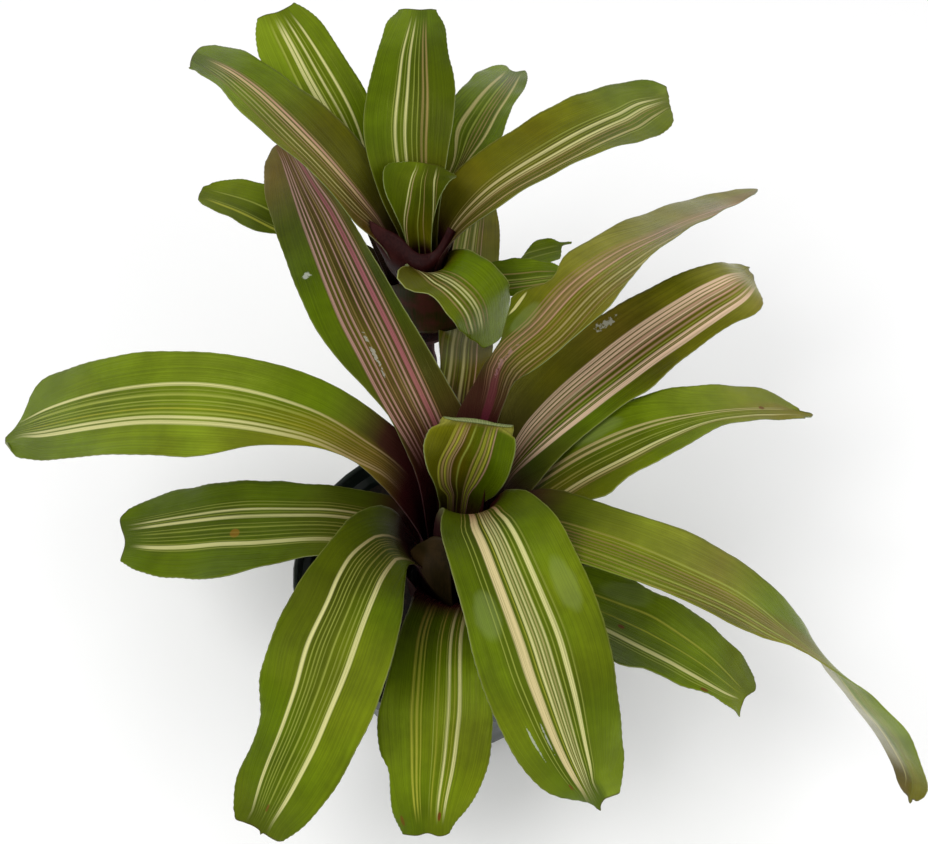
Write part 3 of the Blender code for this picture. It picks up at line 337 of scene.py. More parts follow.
offsetLeaves = {
    "offset_leaf_01": {
        "heading": 150, "curl": (0.3, 0.3), "ripple": 0.4, "spread": 12,
        "spine": [(18, 0, 165), (45, 0, 174), (86, 0, 176), (106, 0, 177), (132, 0, 173)],
        "edges": [(0, 13, -13), (0.3, 10, -10), (0.6, 8.4, -12), (0.64, 11, -13), (0.68, 14.2, -13.8),
            (0.74, 13.8, -15.3), (0.8, 12.2, -15.3), (0.86, 11.4, -14.7), (0.92, 10.6, -13),
            (0.957, 9.4, -10.8), (1, 6.5, -6.5)],
        "tip": [(-6.5, 0), (-5.2, 1), (-3.3, 3.3), (-0.4, 2.8), (3.3, 1.5), (6.5, -0.5)],
        "lane": [(0, 0, 1), (0.7, 0, 1), (1, 0, 0.7)],
        "stripes": {"yellow": [(6.4, 1.4)], "pale": [(4.6, 0.5), (-3.3, 0.8)]},
        "tones": [(0.5, "moss"), (0.75, "leaf"), (0.9, "fern")],
    },
    "offset_leaf_02": {
        "heading": 20, "curl": (0.3, 0.3), "ripple": 0.3, "spread": 10,
        "spine": [(14.6, 0, 166), (18, 0, 172), (27, 0, 176), (50, 0, 179), (66, 0, 179), (79, 0, 177)],
        "edges": [(0, 13, -13), (0.3, 8, -8), (0.6, -5, -11), (0.66, -3.5, -12), (0.72, 1, -12.5),
            (0.8, 5, -12.5), (0.86, 4.4, -12), (0.9, 3, -6.5), (0.93, 1.3, -2.2), (1, 0.5, -0.8)],
        "lane": [(0, -3, 1), (1, -2, 0.8)],
        "stripes": {"pale": [(1, 0.8), (-4, 0.7)]},
        "tones": [(0.4, "leaf"), (0.9, "fern")],
        "end": 0.93,
    },
    "offset_leaf_03": {
        "heading": 126, "curl": (0.4, 0), "ripple": 0.7, "spread": 17,
        "spine": [(13.3, 0, 163), (20, 0, 177), (32, 0, 191), (45, 0, 211), (62, 0, 237), (90, 0, 254),
            (118, 0, 267)],
        "edges": [(0, 16, -16), (0.3, 11, -11), (0.5, 15, -14.4), (0.7, 20, -15.8), (0.8, 22.8, -15.2),
            (0.877, 21.6, -15.3), (0.915, 19.4, -14.7), (0.953, 16.6, -13.4), (0.978, 14, -11.6),
            (1, 11, -9)],
        "tip": [(-9, -1.2), (-7, -2), (0.9, -2.6), (7, -1.4), (11, -1.2)],
        "lane": [(0.3, 0.4, 0.3), (0.4, 0.5, 0.4), (0.5, 0, 0.7), (0.7, 0, 1), (0.9, -1, 0.8),
            (1, -1, 0.6)],
        "stripes": {"pale": [(12.6, 1.2), (3.6, 0.5), (-1.6, 0.4)], "cream": [(7.7, 1.8), (5.6, 1.7),
            (0.7, 1.1), (-5, 1.2)]},
        "tones": [(0.35, "brown", "olive"), (0.5, "olive", "leaf"), (0.72, "fern"), (0.95, "lime", "fern")],
        "band": (0.95, 0.92, 0.7, 1),
    },
    "offset_leaf_04": {
        "heading": 352, "curl": (0.3, 0.3), "low": (-0.5, -0.3), "ripple": 0.3, "spread": 9.5,
        "spine": [(12.5, 0, 168), (18, 0, 180), (36, 0, 181), (53, 0, 186), (69, 0, 194)],
        "edges": [(0, 13, -13), (0.3, 8, -8), (0.6, 14, -6.6), (0.72, 14, -6.8), (0.8, 12.5, -7),
            (0.87, 10.5, -6.8), (0.93, 8, -6), (1, 4, -4)],
        "lane": [(0, 0, 1), (0.8, 0, 1), (1, -2, 0.6)],
        "stripes": {"tan": [(5.5, 0.6), (0.6, 0.4), (-2.8, 0.6)], "pale": [(2, 0.8), (-0.8, 0.6)]},
        "tones": [(0.4, "moss", "leaf"), (0.7, "leaf"), (0.95, "lime")],
        "end": 0.97,
    },
    "offset_leaf_05": {
        "heading": 66, "curl": (0.4, 0), "ripple": 0.7, "spread": 15,
        "spine": [(11.6, 0, 172), (15, 0, 188), (27, 0, 212), (57, 0, 224), (89, 0, 225), (123, 0, 213)],
        "edges": [(0, 16, -16), (0.3, 11, -11), (0.5, 15, -16), (0.61, 16.5, -16), (0.66, 17, -14.2),
            (0.71, 17, -12.8), (0.76, 16.8, -11), (0.82, 17, -10.3), (0.87, 17.4, -9.2), (0.92, 16.8, -7.6),
            (0.96, 15.2, -5.6), (1, 12.8, -2.8)],
        "tip": [(-2.8, 0.5), (-0.8, 3), (0.6, 1.5), (2.5, -1.5), (6, -1), (9.4, 2.2), (11.8, 1.5),
            (12.8, 0)],
        "lane": [(0.4, 0, 0.3), (0.5, -1, 0.45), (0.6, 0, 1.05), (0.7, 0, 1), (0.8, 0.2, 0.88),
            (0.9, 1.5, 0.7), (0.97, 3, 0.57)],
        "stripes": {"straw": [(6.5, 1.9), (-6.7, 1.3)], "pale": [(4, 0.4), (1.1, 0.8)], "tan": [(-0.5, 0.5),
            (-2.3, 0.6), (-4, 0.5)]},
        "tones": [(0.35, "olive"), (0.6, "leaf"), (0.8, "fern"), (0.95, "lime", "fern")],
    },
    "offset_leaf_06": {
        "heading": 150, "curl": (0.4, 0), "press": (0.3, 0.3, 0.42), "roll": (10, 15), "ripple": 0.6,
        "spread": 18,
        "spine": [(10.4, 0, 175), (17, 0, 200), (25, 0, 219), (43, 0, 241), (69, 0, 257), (95, 0, 266),
            (123, 0, 267)],
        "edges": [(0, 16, -16), (0.2, 16, -12), (0.3, 20, -11), (0.35, 20, -12), (0.4, 22, -12.5),
            (0.46, 25, -13.5), (0.52, 27, -14.2), (0.57, 28.6, -14.4), (0.62, 30.5, -14.7),
            (0.68, 32.5, -15), (0.75, 31, -15.2), (0.8, 26.6, -16), (0.84, 21, -16.6), (0.88, 17.8, -17.1),
            (0.91, 17, -17.7), (0.935, 15.6, -17.7), (0.96, 14, -17.3), (1, 12, -14.4)],
        "tip": [(-14, -3), (-12, -1.5), (-9, 0), (-6.4, 0), (-1.6, -1.3), (2.1, -2.6), (5.7, -4.5),
            (9, -6.5), (11, -8)],
        "lane": [(0.3, 1, 0.3), (0.5, 3.5, 0.9), (0.6, 2.3, 1), (0.7, 0, 1), (0.8, -2, 0.85),
            (0.9, -3, 0.6), (1, -3, 0.4)],
        "stripes": {"tan": [(22, 1), (11.5, 0.9), (1.9, 0.7)], "straw": [(18.5, 0.8), (15, 1.1)],
            "pink": [(9.4, 0.6), (3.9, 1.4)], "blush": [(6.6, 2.1)]},
        "tones": [(0.3, "maroon", "brown"), (0.45, "bronze", "olive"), (0.62, "olivine", "olive"),
            (0.8, "lime", "fern"), (0.95, "fern")],
        "end": 0.97,
    },
    "offset_leaf_07": {
        "heading": 322, "curl": (0.3, -0.3), "wrap": 2.6, "ripple": 0.5, "spread": 18,
        "spine": [(9.3, 0, 175), (12.5, 0, 194), (22, 0, 205), (34, 0, 206), (43.5, 0, 197.5),
            (46.5, 0, 175)],
        "edges": [(0, 13, -13), (0.3, 11, -18), (0.45, 10.4, -22), (0.5, 10, -25), (0.53, 9.9, -33),
            (0.555, 9.8, -40), (0.575, 9.7, -35), (0.6, 9.6, -29), (0.7, 9.8, -28), (0.8, 11, -25),
            (0.86, 11.6, -21.5), (0.9, 12, -19.5), (0.96, 12, -16.5), (1, 9, -14)],
        "tip": [(-14, -3), (-11, 3), (-6, 5), (0, 6), (5, 4), (9, 0)],
        "lane": [(0, 0, 0.7), (0.6, 0, 1), (0.8, 0, 0.95), (0.9, -1, 0.8)],
        "stripes": {"tan": [(-7.3, 0.6), (-10, 0.9), (-16.6, 0.9), (-21.4, 0.9)], "cream": [(-12, 1),
            (-14, 0.9), (-19, 1)]},
        "tones": [(0.34, "maroon"), (0.46, "olive", "maroon"), (0.54, "leaf", "olive"), (0.8, "fern"),
            (0.95, "lime")],
        "end": 0.93, "dark": (0.3, 0.4), "margin": 0.7,
    },
    "offset_leaf_08": {
        "heading": 35, "curl": (0.4, 0), "ripple": 0.6, "spread": 17,
        "spine": [(8.6, 0, 178), (13.5, 0, 205), (34, 0, 224), (69, 0, 231), (105, 0, 230), (151, 0, 217)],
        "edges": [(0, 16, -16), (0.3, 12.4, -15.6), (0.4, 13.6, -21.2), (0.55, 14.4, -26.8),
            (0.62, 14.8, -28), (0.7, 15.6, -29.5), (0.76, 17, -28.8), (0.81, 18.2, -26.3),
            (0.857, 19.5, -23.4), (0.89, 20.4, -21), (0.914, 20.4, -19), (0.935, 20, -16),
            (0.95, 19.6, -12), (0.964, 19, -7), (0.98, 18, -1.5), (1, 16, 4)],
        "tip": [(4, 3), (8, 5.5), (10, 7), (12, 6.4), (16, 3)],
        "lane": [(0.3, -1, 0.5), (0.4, -0.9, 0.72), (0.6, 0, 1), (0.8, 1.8, 0.85), (0.9, 6, 0.73),
            (0.96, 5.4, 0.5)],
        "stripes": {"pale": [(-1.5, 0.9), (-3.4, 0.4), (-8.4, 0.5), (-23.6, 0.5)], "cream": [(-5.8, 2),
            (-11, 1.5)], "straw": [(-12.8, 1.2), (-21.3, 1.5)], "tan": [(-14.6, 0.7), (-17.5, 0.5)]},
        "tones": [(0.26, "maroon"), (0.33, "olive"), (0.6, "olivine"), (0.85, "fern"),
            (0.95, "fern", "lime")],
        "dark": (0.18, 0.28), "rosy": (0.3, 0.7),
    },
    "offset_leaf_09": {
        "heading": 91, "curl": (0.4, 0), "ripple": 0.6, "spread": 18.5,
        "spine": [(7, 0, 180), (10, 1, 203), (18, 4, 222), (33, 6, 240), (51, 5, 254), (70, 4, 262),
            (97, 1, 265)],
        "edges": [(0, 16, -16), (0.3, 11, -11), (0.45, 17, -17.4), (0.6, 20.5, -22.4), (0.7, 19, -22.8),
            (0.76, 17.2, -21.3), (0.81, 15.4, -19.2), (0.87, 13.8, -17.2), (0.925, 12.8, -15.6),
            (0.957, 11.2, -13.6), (0.984, 9, -10.8), (1, 8, -9.8)],
        "tip": [(-9.8, -0.7), (-7, -0.2), (-2, -0.9), (5, -0.8), (8, -1.3)],
        "lane": [(0.3, 0, 0.5), (0.6, 0, 1), (0.8, -0.8, 0.79), (0.9, -1.1, 0.58), (1, -1.1, 0.4)],
        "stripes": {"pale": [(6.9, 0.5), (2.6, 0.4), (-2.6, 0.5), (-5, 0.5)], "cream": [(5.2, 1.3),
            (0.6, 1.3)], "tan": [(-7.3, 1), (-9.6, 1.1)]},
        "tones": [(0.35, "olive"), (0.58, "leaf", "moss"), (0.8, "leaf", "moss"), (0.95, "fern", "leaf")],
        "end": 0.98, "fade": (0.4, 0.7, 0.65, 0.8),
    },
    "offset_leaf_10": {
        "heading": 95, "curl": (0.8, 0.8), "low": (0.35, 0.3), "ripple": 0.4, "spread": 19, "neck": 0.45,
        "spine": [(5.2, 0, 180), (6, 1, 206), (9.4, 2, 222), (15.4, 2, 232), (22.5, 0, 236)],
        "edges": [(0, 13, -13), (0.45, 11, -11), (0.65, 14, -15), (0.8, 19, -19.5), (0.9, 17, -21),
            (0.96, 12, -20), (1, 5, -13)],
        "lane": [(0, 0, 1), (0.63, 0, 1), (0.8, -2.8, 0.73), (0.96, -4.8, 0.48)],
        "stripes": {"cream": [(9, 1), (-11.5, 1.4)], "blush": [(6.8, 0.7)], "pale": [(0, 0.5)],
            "tan": [(-3, 0.5), (-14.5, 0.7)]},
        "tones": [(0.5, "maroon"), (0.58, "olive", "olivine"), (0.8, "leaf", "moss"),
            (0.97, "leaf", "moss")],
        "end": 1, "band": (1, 1, 0.8, 1),
    },
}

mainGroup = {"axis": (2.0, 0.0), "ring": (24.0, 1.3), "foot": 85.0, "thickness": 0.0009}
offsetGroup = {"axis": (-15.0, 115.0), "ring": (15.0, 1.15), "foot": 150.0, "thickness": 0.0008}

# how every leaf is grown
form = {
    "across": 28, "along": 84, "crowding": 1.25,
    "rollFrom": 0.2, "curlTurn": (0.55, 0.95), "uprightFrom": 0.25, "uprightSpan": 0.65, "leastRadius": 4.0,
    "leastCurl": 1e-6, "leastBend": 1e-5, "swaySpan": 0.2, "waves": 3.2, "wavePhase": (1.7, 0.9),
    "flutters": 8.6, "flutterPhase": (2.3, 2.0), "flutterHeight": 0.35,
    "tipFrom": 0.84, "tipSpan": 0.16, "roundTip": 0.012, "toothReach": 0.3, "toothWidth": 1.007,
    "edgeThinning": 0.75, "thinnest": 0.3,
}
laneReach = 60.0  # millimetres of leaf width that the stripe map covers


def smoothStep(x):
    x = min(max(x, 0.0), 1.0)
    return x * x * (3.0 - 2.0 * x)


def readTable(table, t):
    # eased reading of rows that start with t
    if t <= table[0][0]:
        return table[0][1:]
    if t >= table[-1][0]:
        return table[-1][1:]
    i = 0
    while table[i + 1][0] < t:
        i += 1
    a, b = table[i], table[i + 1]
    before = table[max(i - 1, 0)]
    after = table[min(i + 2, len(table) - 1)]
    gap = b[0] - a[0]
    x = (t - a[0]) / gap
    values = []
    for k in range(1, len(a)):
        slopeA = (b[k] - before[k]) / (b[0] - before[0]) * gap
        slopeB = (after[k] - a[k]) / (after[0] - a[0]) * gap
        values.append(
            (2 * x**3 - 3 * x**2 + 1) * a[k] + (x**3 - 2 * x**2 + x) * slopeA
            + (3 * x**2 - 2 * x**3) * b[k] + (x**3 - x**2) * slopeB
        )
    return values


def smoothPath(points, steps=16):
    held = [2 * points[0] - points[1]] + list(points) + [2 * points[-1] - points[-2]]
    path = []
    for a, b, c, d in zip(held, held[1:], held[2:], held[3:]):
        for step in range(steps):
            t = step / steps
            path.append(0.5 * (2 * b + (c - a) * t + (2 * a - 5 * b + 4 * c - d) * t**2
                               + (3 * b - a - 3 * c + d) * t**3))
    path.append(points[-1])
    return path


def pathPoint(path, share):
    spot = share * (len(path) - 1)
    i = min(int(spot), len(path) - 2)
    return path[i].lerp(path[i + 1], spot - i)


def stageValue(start, blade, tip, turn, t):
    # from the foot's value to the blade's, then between the two stations of the turn to the tip's
    early = start + (blade - start) * smoothStep((t - form["rollFrom"]) / (turn[0] - form["rollFrom"]))
    late = blade + (tip - blade) * smoothStep((t - turn[0]) / (turn[1] - turn[0]))
    return early if t < turn[0] else late


class LeafShape:
    # the middle surface of one leaf, in millimetres: t runs along it, u across it

    def __init__(self, leaf, group):
        self.leaf = leaf
        self.group = group
        radius = group["ring"][0] - group["ring"][1] * leaf["age"]
        points = [Vector((radius, 0.0, group["foot"]))] + [Vector(point) for point in leaf["spine"]]
        self.path = smoothPath(points)
        self.reach = [0.0]
        for a, b in zip(self.path, self.path[1:]):
            self.reach.append(self.reach[-1] + (b - a).length)

    def spineAt(self, t):
        goal = min(max(t, 0.0), 1.0) * self.reach[-1]
        i = 0
        while i < len(self.path) - 2 and self.reach[i + 1] < goal:
            i += 1
        share = (goal - self.reach[i]) / (self.reach[i + 1] - self.reach[i])
        before = self.path[max(i - 1, 0)]
        after = self.path[min(i + 2, len(self.path) - 1)]
        low = (self.path[i + 1] - before).normalized()
        high = (after - self.path[i]).normalized()
        return self.path[i].lerp(self.path[i + 1], share), low.lerp(high, share).normalized()

    def row(self, t):
        # the frame, edges and bends of the blade at one station
        leaf = self.leaf
        centre, along = self.spineAt(t)
        across = Vector((0.0, 1.0, 0.0))
        across = (across - along * across.dot(along)).normalized()
        facing = along.cross(across)
        roll = math.radians(stageValue(0.0, *leaf["roll"], leaf["turn"], t))
        across, facing = (
            across * math.cos(roll) + facing * math.sin(roll),
            facing * math.cos(roll) - across * math.sin(roll),
        )
        upright = smoothStep((along.z - form["uprightFrom"]) / form["uprightSpan"])
        cup = upright * leaf["cup"] / max(centre.x, form["leastRadius"])
        curls = []
        for bladeCurl, tipCurl in (leaf["curl"], leaf["low"] or leaf["curl"]):
            curl = stageValue(bladeCurl, bladeCurl, tipCurl, form["curlTurn"], t)
            curls.append(cup + (1.0 - upright) * curl / leaf["spread"])
        if leaf["press"]:
            pressed, start, end = leaf["press"]
            curls[0] += (pressed / leaf["spread"] - curls[0]) * smoothStep((t - start) / (end - start))
        limit = leaf["wrap"] / max(abs(curls[0]), form["leastCurl"])
        left, right = readTable(leaf["edges"], t)
        sway = (1.0 - upright) * smoothStep((t - leaf["neck"]) / form["swaySpan"])
        return {"centre": centre, "along": along, "across": across, "facing": facing, "curls": curls,
                "left": min(left, limit), "right": max(right, -limit), "sway": sway}

    def widthAt(self, row, u):
        return row["right"] + (row["left"] - row["right"]) * (u + 1) / 2

    def tipAhead(self, row, u):
        # how far the end of the leaf runs on, or falls short, at this place across it
        if not self.leaf["tip"]:
            return -form["roundTip"] * self.reach[-1] * u**4
        return readTable(self.leaf["tip"], self.widthAt(row, u))[0]

    def point(self, row, t, u, ahead):
        width = self.widthAt(row, u)
        bend = row["curls"][0] if width >= 0 else row["curls"][1]
        if abs(bend) < form["leastBend"]:
            bend = form["leastBend"]
        out = math.sin(bend * width) / bend
        rise = (1.0 - math.cos(bend * width)) / bend
        age = self.leaf["age"]
        phase = form["wavePhase"][0] * age + (form["wavePhase"][1] if u > 0 else 0.0)
        rise += self.leaf["ripple"] * row["sway"] * u * u * math.sin(math.tau * form["waves"] * t + phase)
        phase = form["flutterPhase"][0] * age
        flutter = math.sin(math.tau * form["flutters"] * t + phase + form["flutterPhase"][1] * u)
        rise += form["flutterHeight"] * row["sway"] * u**4 * flutter
        place = row["centre"] + row["across"] * out + row["facing"] * rise + row["along"] * ahead
        turn = Matrix.Rotation(math.radians(self.leaf["heading"]), 3, "Z")
        return turn @ place + Vector((*self.group["axis"], 0.0)), width


def finishMesh(name, bm, materials, scale=0.001):
    # millimetres to metres, then a smooth shaded object at the origin
    bmesh.ops.scale(bm, vec=(scale, scale, scale), verts=bm.verts)
    mesh = bpy.data.meshes.new(name)
    bm.to_mesh(mesh)
    bm.free()
    mesh.shade_smooth()
    for material in materials:
        mesh.materials.append(material)
    piece = bpy.data.objects.new(name, mesh)
    bpy.context.scene.collection.objects.link(piece)
    return piece


def addWall(piece, thickness):
    wall = piece.modifiers.new("thickness", "SOLIDIFY")
    wall.thickness = thickness
    wall.offset = 0.0
    return wall


def growLeaf(name, leaf, group, materials):
    shape = LeafShape(leaf, group)
    along = form["along"]
    bm = bmesh.new()
    bmesh.ops.create_grid(bm, x_segments=form["across"], y_segments=along, size=0.5)
    laneMap = bm.loops.layers.uv.new("lane")
    bladeMap = bm.loops.layers.uv.new("blade")
    weights = bm.verts.layers.deform.new("thin")
    stations = [1.0 - (1.0 - i / along) ** form["crowding"] for i in range(along + 1)]
    rows = [shape.row(t) for t in stations]
    marks = {}
    for vert in bm.verts:
        u = 2.0 * vert.co.x
        index = round((vert.co.y + 0.5) * along)
        t = stations[index]
        ahead = shape.tipAhead(rows[index], u) * smoothStep((t - form["tipFrom"]) / form["tipSpan"]) ** 2
        if abs(u) > 0.999 and index % 2:
            # every other point of an edge is a small tooth
            ahead += form["toothReach"]
            u *= form["toothWidth"]
        vert.co, width = shape.point(rows[index], t, u, ahead)
        shift, squeeze = readTable(leaf["lane"], t)
        laneX = 0.5 + (width - shift) / squeeze / laneReach
        marks[vert] = ((laneX, t), ((u + 1) / 2, t))
        vert[weights][0] = 1.0 - form["edgeThinning"] * abs(u) ** 3
    bmesh.ops.reverse_faces(bm, faces=bm.faces)
    for face in bm.faces:
        for loop in face.loops:
            loop[laneMap].uv, loop[bladeMap].uv = marks[loop.vert]
    piece = finishMesh(name, bm, materials)
    piece.vertex_groups.new(name="thin")
    wall = addWall(piece, group["thickness"])
    wall.vertex_group = "thin"
    wall.thickness_vertex_group = form["thinnest"]
    wall.material_offset = 1
    wall.material_offset_rim = 1
    return piece


def newMaterial(name):
    material = bpy.data.materials.new(name)
    material.use_nodes = True
    return material, material.node_tree, material.node_tree.nodes["Principled BSDF"]


def link(tree, a, b):
    tree.links.new(a, b)


def fill(tree, socket, value):
    # a fixed value or a link into one socket
    if isinstance(value, (int, float, tuple)):
        socket.default_value = value
    else:
        link(tree, value, socket)


def node(tree, kind, **settings):
    made = tree.nodes.new(kind)
    for key, value in settings.items():
        if key in made.inputs:
            made.inputs[key].default_value = value
        else:
            setattr(made, key, value)
    return made


def mathNode(tree, operation, a, b=0.5):
    made = node(tree, "ShaderNodeMath", operation=operation)
    fill(tree, made.inputs[0], a)
    fill(tree, made.inputs[1], b)
    return made.outputs[0]


def product(tree, first, *others):
    for value in others:
        first = mathNode(tree, "MULTIPLY", first, value)
    return first


def mixColours(tree, factor, a, b, blend="MIX"):
    made = node(tree, "ShaderNodeMix", data_type="RGBA", blend_type=blend)
    for i, value in ((0, factor), (6, a), (7, b)):
        fill(tree, made.inputs[i], value)
    return made.outputs[2]


def mapRange(tree, value, low, high, toLow=0.0, toHigh=1.0):
    made = node(tree, "ShaderNodeMapRange", interpolation_type="SMOOTHSTEP")
    for i, number in enumerate((value, low, high, toLow, toHigh)):
        fill(tree, made.inputs[i], number)
    return made.outputs[0]


def uvParts(tree, layer):
    parts = node(tree, "ShaderNodeSeparateXYZ")
    link(tree, node(tree, "ShaderNodeUVMap", uv_map=layer).outputs[0], parts.inputs[0])
    return parts.outputs[0], parts.outputs[1]


def stretched(tree, x, y, scales, depth=0.0):
    # a place for noise that runs along the leaf
    made = node(tree, "ShaderNodeCombineXYZ")
    fill(tree, made.inputs[0], product(tree, x, scales[0]))
    fill(tree, made.inputs[1], product(tree, y, scales[1]))
    fill(tree, made.inputs[2], depth)
    return made.outputs[0]


def noise(tree, place, scale=1.0, detail=2.0, roughness=0.5):
    made = node(tree, "ShaderNodeTexNoise", Scale=scale, Detail=detail, Roughness=roughness)
    link(tree, place, made.inputs["Vector"])
    return made.outputs[0]


def objectPlace(tree):
    return node(tree, "ShaderNodeTexCoord").outputs["Object"]


def addBump(tree, shader, height, strength, distance):
    bump = node(tree, "ShaderNodeBump", Strength=strength, Distance=distance)
    link(tree, height, bump.inputs["Height"])
    link(tree, bump.outputs[0], shader.inputs["Normal"])


def colourRamp(tree, place, stops):
    ramp = tree.nodes.new("ShaderNodeValToRGB")
    elements = ramp.color_ramp.elements
    while len(elements) > 1:
        elements.remove(elements[-1])
    elements[0].position, elements[0].color = stops[0]
    for position, colour in stops[1:]:
        elements.new(min(max(position, 0.0), 1.0)).color = colour
    link(tree, place, ramp.inputs[0])
    return ramp.outputs[0], ramp.outputs[1]


# leaf skin: noise as scale, detail and roughness; ranges as from low, from high, to low, to high
skin = {
    "veins": (laneReach * 1.9, 2.2), "veinNoise": (1.0, 2.0, 0.6),
    "threads": (laneReach * 5.0, 4.0), "threadNoise": (1.0, 1.0), "seeds": (3.7, 5.0),
    "blotches": (34.0, 4.0, 0.6), "clouds": (13.0, 2.0), "speckles": (420.0, 3.0, 0.7),
    "sides": (0.4, 0.6), "flushed": (0.48, 0.64), "warm": (1.22, 0.86, 0.9, 1.0),
    "blotchShade": (0.3, 0.7, 0.8, 1.24), "veinShade": (0.35, 0.65, 1.1, 0.88),
    "threadShade": (0.3, 0.7, 0.95, 1.06), "bandMargin": 2.0, "bandEase": 0.04,
    "veinGaps": (0.5, 0.64, 1.0, 0.55), "threadGaps": (0.52, 0.75, 1.0, 0.66),
    "stripeSoftness": 0.3, "hairline": 1.0, "mostStops": 32, "stripeEase": 0.09, "stripeStrength": 0.94,
    "rosyPaint": paint(132, 72, 66),
    "rim": (0.488, 0.498), "rimPaint": paint(150, 152, 84),
    "tip": (0.994, 1.0, 0.0, 0.55), "tipPaint": paint(66, 52, 20),
    "spotNoise": (0.3, 0.7), "spotEdge": (0.45, 1.1), "speckledFrom": 0.5,
    "gloss": (0.35, 0.7, 0.26, 0.46), "threadGloss": (0.3, 0.8, -0.03, 0.06),
    "veinRelief": 0.8, "bump": (0.35, 0.0006), "ior": 1.45, "shine": 0.2,
    "shineTint": (1.0, 0.96, 0.28, 1.0),
}


def stripeStops(stripes):
    # four stops for a band, three for a hairline, from one side of the leaf to the other
    stops = []
    for place, width, paintName in stripes:
        colour = stripePaints[paintName][:3]
        soft = min(skin["stripeSoftness"], width / 3)
        half = width / 2
        steps = [(-half - soft, 0), (-half + soft, 1), (half - soft, 1), (half + soft, 0)]
        if width < skin["hairline"]:
            steps = [(-half - soft, 0), (0, 1), (half + soft, 0)]
        stops.append([(0.5 + (place + x) / laneReach, colour + (a,)) for x, a in steps])
    return stops


def stripeRamps(tree, laneX, stripes):
    # one or more colour ramps, each with as many stripes as it has room for
    groups = [[]]
    for stops in stripeStops(stripes):
        if len(groups[-1]) + len(stops) > skin["mostStops"]:
            groups.append([])
        groups[-1].extend(stops)
    colour, alpha = colourRamp(tree, laneX, groups[0])
    for stops in groups[1:]:
        nextColour, nextAlpha = colourRamp(tree, laneX, stops)
        colour = mixColours(tree, nextAlpha, colour, nextColour)
        alpha = mathNode(tree, "MAXIMUM", alpha, nextAlpha)
    return colour, alpha


def spotMask(tree, laneX, laneY, grain, spot):
    # soft ellipse around one place on the leaf
    across, station, wide, long, ragged, strength = spot[:6]
    x = product(tree, mathNode(tree, "SUBTRACT", laneX, 0.5 + across / laneReach), laneReach / wide)
    y = product(tree, mathNode(tree, "SUBTRACT", laneY, station), 1.0 / long)
    squares = mathNode(tree, "ADD", product(tree, x, x), product(tree, y, y))
    frayed = mathNode(tree, "ADD", squares, mapRange(tree, grain, *skin["spotNoise"], -ragged, ragged))
    return mapRange(tree, frayed, *skin["spotEdge"], strength, 0.0)


